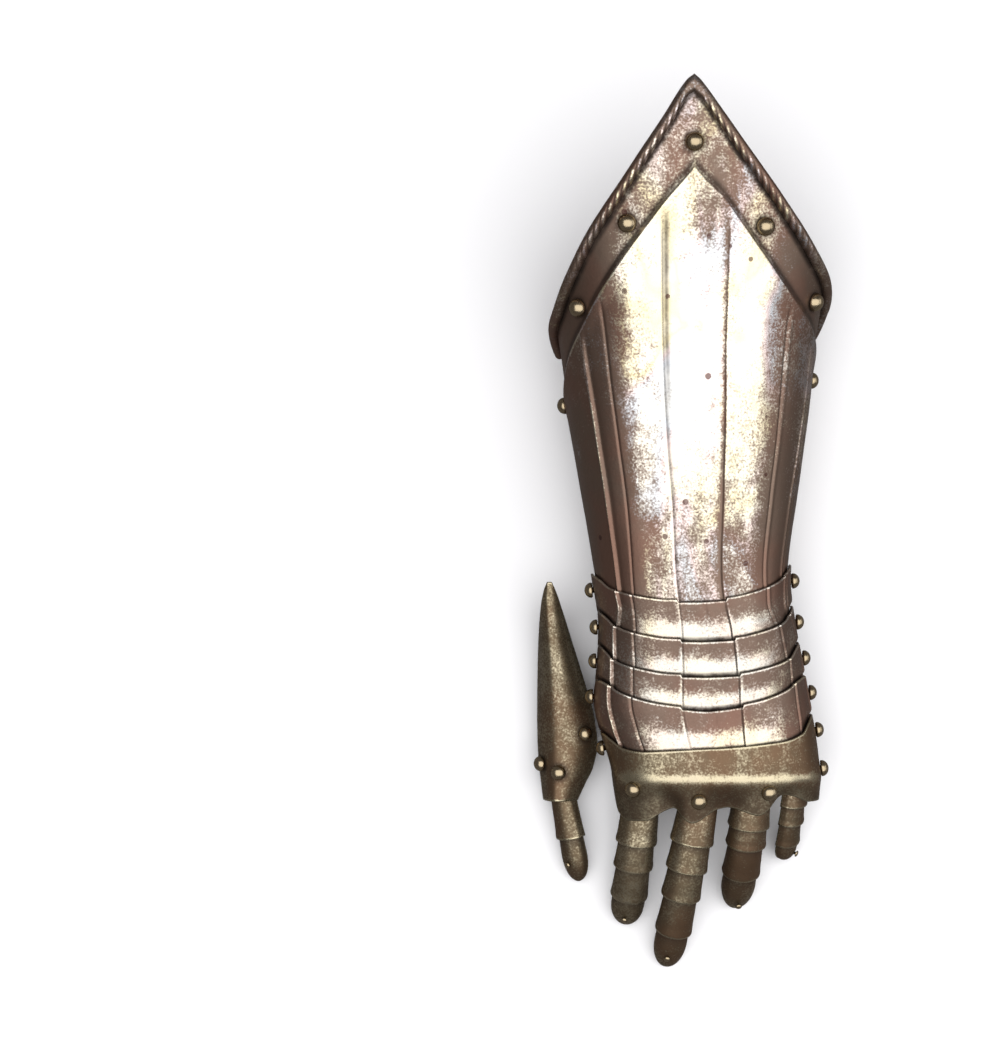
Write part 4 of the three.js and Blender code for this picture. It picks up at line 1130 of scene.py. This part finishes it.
def rust_pits(tree, place, grain):
    """1 inside a pit: where the distance to the middle of a cell, roughened by grain, is under its reach."""
    cells = tree.nodes.new("ShaderNodeTexVoronoi")
    feed(tree, cells, {"Vector": place, "Scale": PIT_SCALE})
    pick = tree.nodes.new("ShaderNodeSeparateColor")
    feed(tree, pick, {0: cells.outputs["Color"]})
    reach = maths(tree, "MULTIPLY", ramp(tree, pick.outputs[0], 0.62, 1.0), PIT_REACH)
    ragged = maths(tree, "ADD", cells.outputs["Distance"], around_zero(tree, grain, 0.12))
    return maths(tree, "LESS_THAN", ragged, reach)


# %% Steel group
def aged_steel_group():
    """Age is a base value plus stain, painted shading and noises, minus wear, painted highlight and the
    rubbed edge, which is also a painted highlight. It turns bright to brown.
    """
    inputs = [("Bright", "Color", (0.62, 0.58, 0.52, 1)), ("Brown", "Color", (0.15, 0.105, 0.08, 1))]
    # the dark colour of dirt and painted shade
    inputs += [("Dirt", "Color", (0.035, 0.025, 0.02, 1)), ("Age", "Float", 0.3), ("Tint", "Float", 0.5)]
    inputs += [("Pits", "Float", 1.0), ("Streaks", "Float", 0.4), ("Smooth", "Float", 0.24)]
    outputs = [("Colour", "Color", None), ("Roughness", "Float", None), ("Height", "Float", None)]
    tree, given, result = new_group("aged steel", inputs, outputs + [("Metal", "Float", None)])
    place = tree.nodes.new("ShaderNodeTexCoord").outputs["Object"]
    patch = noise(tree, stretched(tree, place, (1, 0.55, 1)), PATCH[0], 5, 0.6, 0.4)
    mottle = noise(tree, place, MOTTLE[0], 5, 0.65)
    grain = noise(tree, place, GRAIN[0], 3, 0.6)
    streak = noise(tree, stretched(tree, place, (1, 0.05, 1)), 210, 4, 0.6)
    wear, grime, stain = (kept_number(tree, key) for key in ("wear", "grime", "stain"))
    # cut edges brighter: wear and painted highlight
    rim = ramp(tree, kept_number(tree, "edge"), 0.9, 0.1)
    age = maths(tree, "ADD", given.outputs["Age"], stain)
    weighted = [(patch, PATCH[1]), (mottle, MOTTLE[1]), (grain, GRAIN[1]), (streak, given.outputs["Streaks"])]
    for value, weight in weighted:
        age = maths(tree, "ADD", age, around_zero(tree, value, weight))
    age = maths(tree, "SUBTRACT", age, wear)
    age = maths(tree, "SUBTRACT", age, maths(tree, "MULTIPLY", rim, 0.8))
    brown = ramp(tree, age, 0.0, 0.95)
    film = film_tint(tree, place)
    bright = blend(tree, given.outputs["Tint"], given.outputs["Bright"], film, "MULTIPLY")
    warm = blend(tree, 1.0, given.outputs["Brown"], (1.12, 0.93, 0.9, 1), "MULTIPLY")
    reddish = blend(tree, ramp(tree, patch, 0.42, 0.62), given.outputs["Brown"], warm)
    colour = blend(tree, brown, bright, reddish)
    pit = maths(tree, "MULTIPLY", rust_pits(tree, place, grain), given.outputs["Pits"])
    # dirt and painted shade pull the colour towards the dark colour
    soil_and_shade = maths(tree, "MULTIPLY", grime, ramp(tree, mottle, 0.25, 0.6, 0.6, 1.0), clamp=True)
    colour = blend(tree, soil_and_shade, colour, given.outputs["Dirt"])
    colour = blend(tree, maths(tree, "MULTIPLY", pit, 0.8), colour, (0.06, 0.025, 0.02, 1))
    rough = maths(tree, "ADD", given.outputs["Smooth"], maths(tree, "MULTIPLY", brown, 0.17))
    rough = maths(tree, "ADD", rough, around_zero(tree, grain, 0.25))
    rough = maths(tree, "ADD", rough, maths(tree, "MULTIPLY", soil_and_shade, 0.2), clamp=True)
    height = maths(tree, "ADD", maths(tree, "MULTIPLY", mottle, 0.6), maths(tree, "MULTIPLY", grain, 0.35))
    height = maths(tree, "SUBTRACT", height, maths(tree, "MULTIPLY", pit, 0.8))
    metal = maths(tree, "SUBTRACT", 1.0, maths(tree, "MULTIPLY", brown, 0.12))
    for key, value in (("Colour", colour), ("Roughness", rough), ("Height", height), ("Metal", metal)):
        tree.links.new(value, result.inputs[key])
    return tree


AGED_STEEL = aged_steel_group()
print("steel group:", len(AGED_STEEL.nodes), "nodes")

# %% [markdown]
# ### Four steels and a leather
# The cuff and the hand plates are bright steel, the fingers and the knuckles a darker one that was never
# polished again, and the rivets are rounder and warmer, like brass worn dull. The leather under the
# scales is nearly black. One material with a mask could hold them all, but separate ones are easier to
# change.

# %% Steel finishes
STEEL_RELIEF = 0.0003
LEATHER_RELIEF = 0.0004


def steel_finish(name, bump, **values):
    """A Principled metal fed by the steel group, with a fine bump from the group's height."""
    material = bpy.data.materials.new(name)
    material.use_nodes = True
    tree = material.node_tree
    shader = tree.nodes["Principled BSDF"]
    steel = tree.nodes.new("ShaderNodeGroup")
    steel.node_tree = AGED_STEEL
    for key, value in values.items():
        steel.inputs[key].default_value = value
    relief = tree.nodes.new("ShaderNodeBump")
    relief.inputs["Strength"].default_value = bump
    relief.inputs["Distance"].default_value = STEEL_RELIEF
    for source, target in (("Colour", "Base Color"), ("Roughness", "Roughness"), ("Metal", "Metallic")):
        tree.links.new(steel.outputs[source], shader.inputs[target])
    tree.links.new(steel.outputs["Height"], relief.inputs["Height"])
    tree.links.new(relief.outputs[0], shader.inputs["Normal"])
    return material


def leather_finish():
    """Dark leather: fine creases from a noise, worn paler where the noise is high."""
    material = bpy.data.materials.new("dark leather")
    material.use_nodes = True
    tree = material.node_tree
    shader = tree.nodes["Principled BSDF"]
    place = tree.nodes.new("ShaderNodeTexCoord").outputs["Object"]
    crease = noise(tree, place, 500, 5, 0.6)
    colour = blend(tree, ramp(tree, crease, 0.4, 0.7), (0.035, 0.02, 0.014, 1), (0.12, 0.075, 0.05, 1))
    tree.links.new(colour, shader.inputs["Base Color"])
    shader.inputs["Roughness"].default_value = 0.75
    relief = tree.nodes.new("ShaderNodeBump")
    relief.inputs["Distance"].default_value = LEATHER_RELIEF
    tree.links.new(crease, relief.inputs["Height"])
    tree.links.new(relief.outputs[0], shader.inputs["Normal"])
    return material


# %% Finishes on the pieces
FINISHES = {
    "cuff_steel": steel_finish("cuff steel", 0.5, Age=0.16, Tint=0.85, Bright=(0.66, 0.63, 0.56, 1),
                               Streaks=0.7),
    "plate_steel": steel_finish("plate steel", 0.5, Age=0.2, Tint=0.4, Bright=(0.58, 0.53, 0.44, 1),
                                Brown=(0.16, 0.11, 0.085, 1), Pits=0.3),
    "finger_steel": steel_finish("finger steel", 0.45, Age=0.3, Tint=0.1, Bright=(0.42, 0.37, 0.26, 1),
                                 Brown=(0.12, 0.09, 0.055, 1), Pits=0.0, Smooth=0.28),
    "rivets": steel_finish("rivet metal", 0.25, Age=0.15, Tint=0.0, Bright=(0.34, 0.275, 0.18, 1),
                           Brown=(0.16, 0.12, 0.08, 1), Pits=0.0, Smooth=0.26),
    "leather": leather_finish(),
}
slot_of = {row["node"]: row["material_slot"] for row in frame["record"]["subparts"]}
for shown in bpy.data.objects:
    if shown.type == "MESH" and shown.name in slot_of:
        shown.data.materials.clear()
        shown.data.materials.append(FINISHES[slot_of[shown.name]])
for shown, slot_name in OWN_PIECES:
    shown.data.materials.append(FINISHES[slot_name])
print("finishes on", len(slot_of), "solids and", len(OWN_PIECES), "pieces")

# %% [markdown]
# ## Table, light and camera
# The gauntlet lies on a white table. Bare steel shows little but its surroundings, so a white table would
# light up both flanks like a mirror. It could be made grey, but then it would look grey from above too.
# Light Path tells the rays of a reflection from the rest, so the table is darker only where the steel
# mirrors it.

# %% Table
TABLE_HALF = 6.0
TABLE_WHITE, TABLE_MIRRORED = (0.87, 0.87, 0.885, 1), (0.13, 0.12, 0.115, 1)


def make_table():
    """One square at height zero."""
    mesh = bpy.data.meshes.new("table")
    s = TABLE_HALF
    mesh.from_pydata([(-s, -s, 0), (s, -s, 0), (s, s, 0), (-s, s, 0)], [], [(0, 1, 2, 3)])
    table = bpy.data.objects.new("table", mesh)
    bpy.context.scene.collection.objects.link(table)
    material = bpy.data.materials.new("table white")
    material.use_nodes = True
    shader = material.node_tree.nodes["Principled BSDF"]
    shader.inputs["Roughness"].default_value = 0.8
    tree = material.node_tree
    light_path = tree.nodes.new("ShaderNodeLightPath")
    tone = blend(tree, light_path.outputs["Is Glossy Ray"], TABLE_WHITE, TABLE_MIRRORED)
    tree.links.new(tone, shader.inputs["Base Color"])
    mesh.materials.append(material)


make_table()

# %% [markdown]
# ### Lights and camera
# A very large soft light overhead gives the broad white bands along the cuff and almost no shadow. A low
# one at the right draws a thin highlight along the far side of every plate. Many small lamps would give
# many small spots instead. The camera looks straight down from far enough to keep the plates from
# leaning.

# %% Lights
def softbox(name, place, target, size, power):
    """A rectangular light that faces its target."""
    light = bpy.data.lights.new(name, "AREA")
    light.shape = "RECTANGLE"
    light.size, light.size_y = size
    light.energy = power
    lamp = bpy.data.objects.new(name, light)
    lamp.location = place
    direction = Vector(target) - Vector(place)
    lamp.rotation_euler = direction.to_track_quat("-Z", "Y").to_euler()
    bpy.context.scene.collection.objects.link(lamp)


softbox("overhead", (0.55, -0.35, 2.2), (0.55, -0.35, 0), (5.2, 3.4), 128)
softbox("right_window", (2.6, 0.2, 0.9), (0, 0, 0.1), (2.4, 1.0), 12)

world = bpy.data.worlds.new("room")
bpy.context.scene.world = world
world.use_nodes = True
world.node_tree.nodes["Background"].inputs["Color"].default_value = (0.16, 0.15, 0.15, 1)
world.node_tree.nodes["Background"].inputs["Strength"].default_value = 1.0
print("lights:", [light.name for light in bpy.data.lights])

# %% Camera
FRAME_WIDTH, FRAME_HEIGHT = 1000, 1056  # shape of the picture
TABLE_SHOWN = 530 * MM  # width of the table in the picture
CAMERA_HEIGHT = 1.5
CAMERA_PLACE = (-94.4, 3.5)  # the camera stands to the left of the gauntlet, in the maker's coordinates
SENSOR = 36

camera_data = bpy.data.cameras.new("camera")
camera = bpy.data.objects.new("camera", camera_data)
bpy.context.scene.collection.objects.link(camera)
camera.location = (*((CAMERA_PLACE + SHIFT[:2]) * MM), CAMERA_HEIGHT)
camera_data.sensor_width = SENSOR
camera_data.lens = SENSOR * CAMERA_HEIGHT / (TABLE_SHOWN * FRAME_HEIGHT / FRAME_WIDTH)
bpy.context.scene.camera = camera
bpy.context.scene.view_settings.view_transform = "Standard"

print("camera at", [round(v, 4) for v in camera.location])
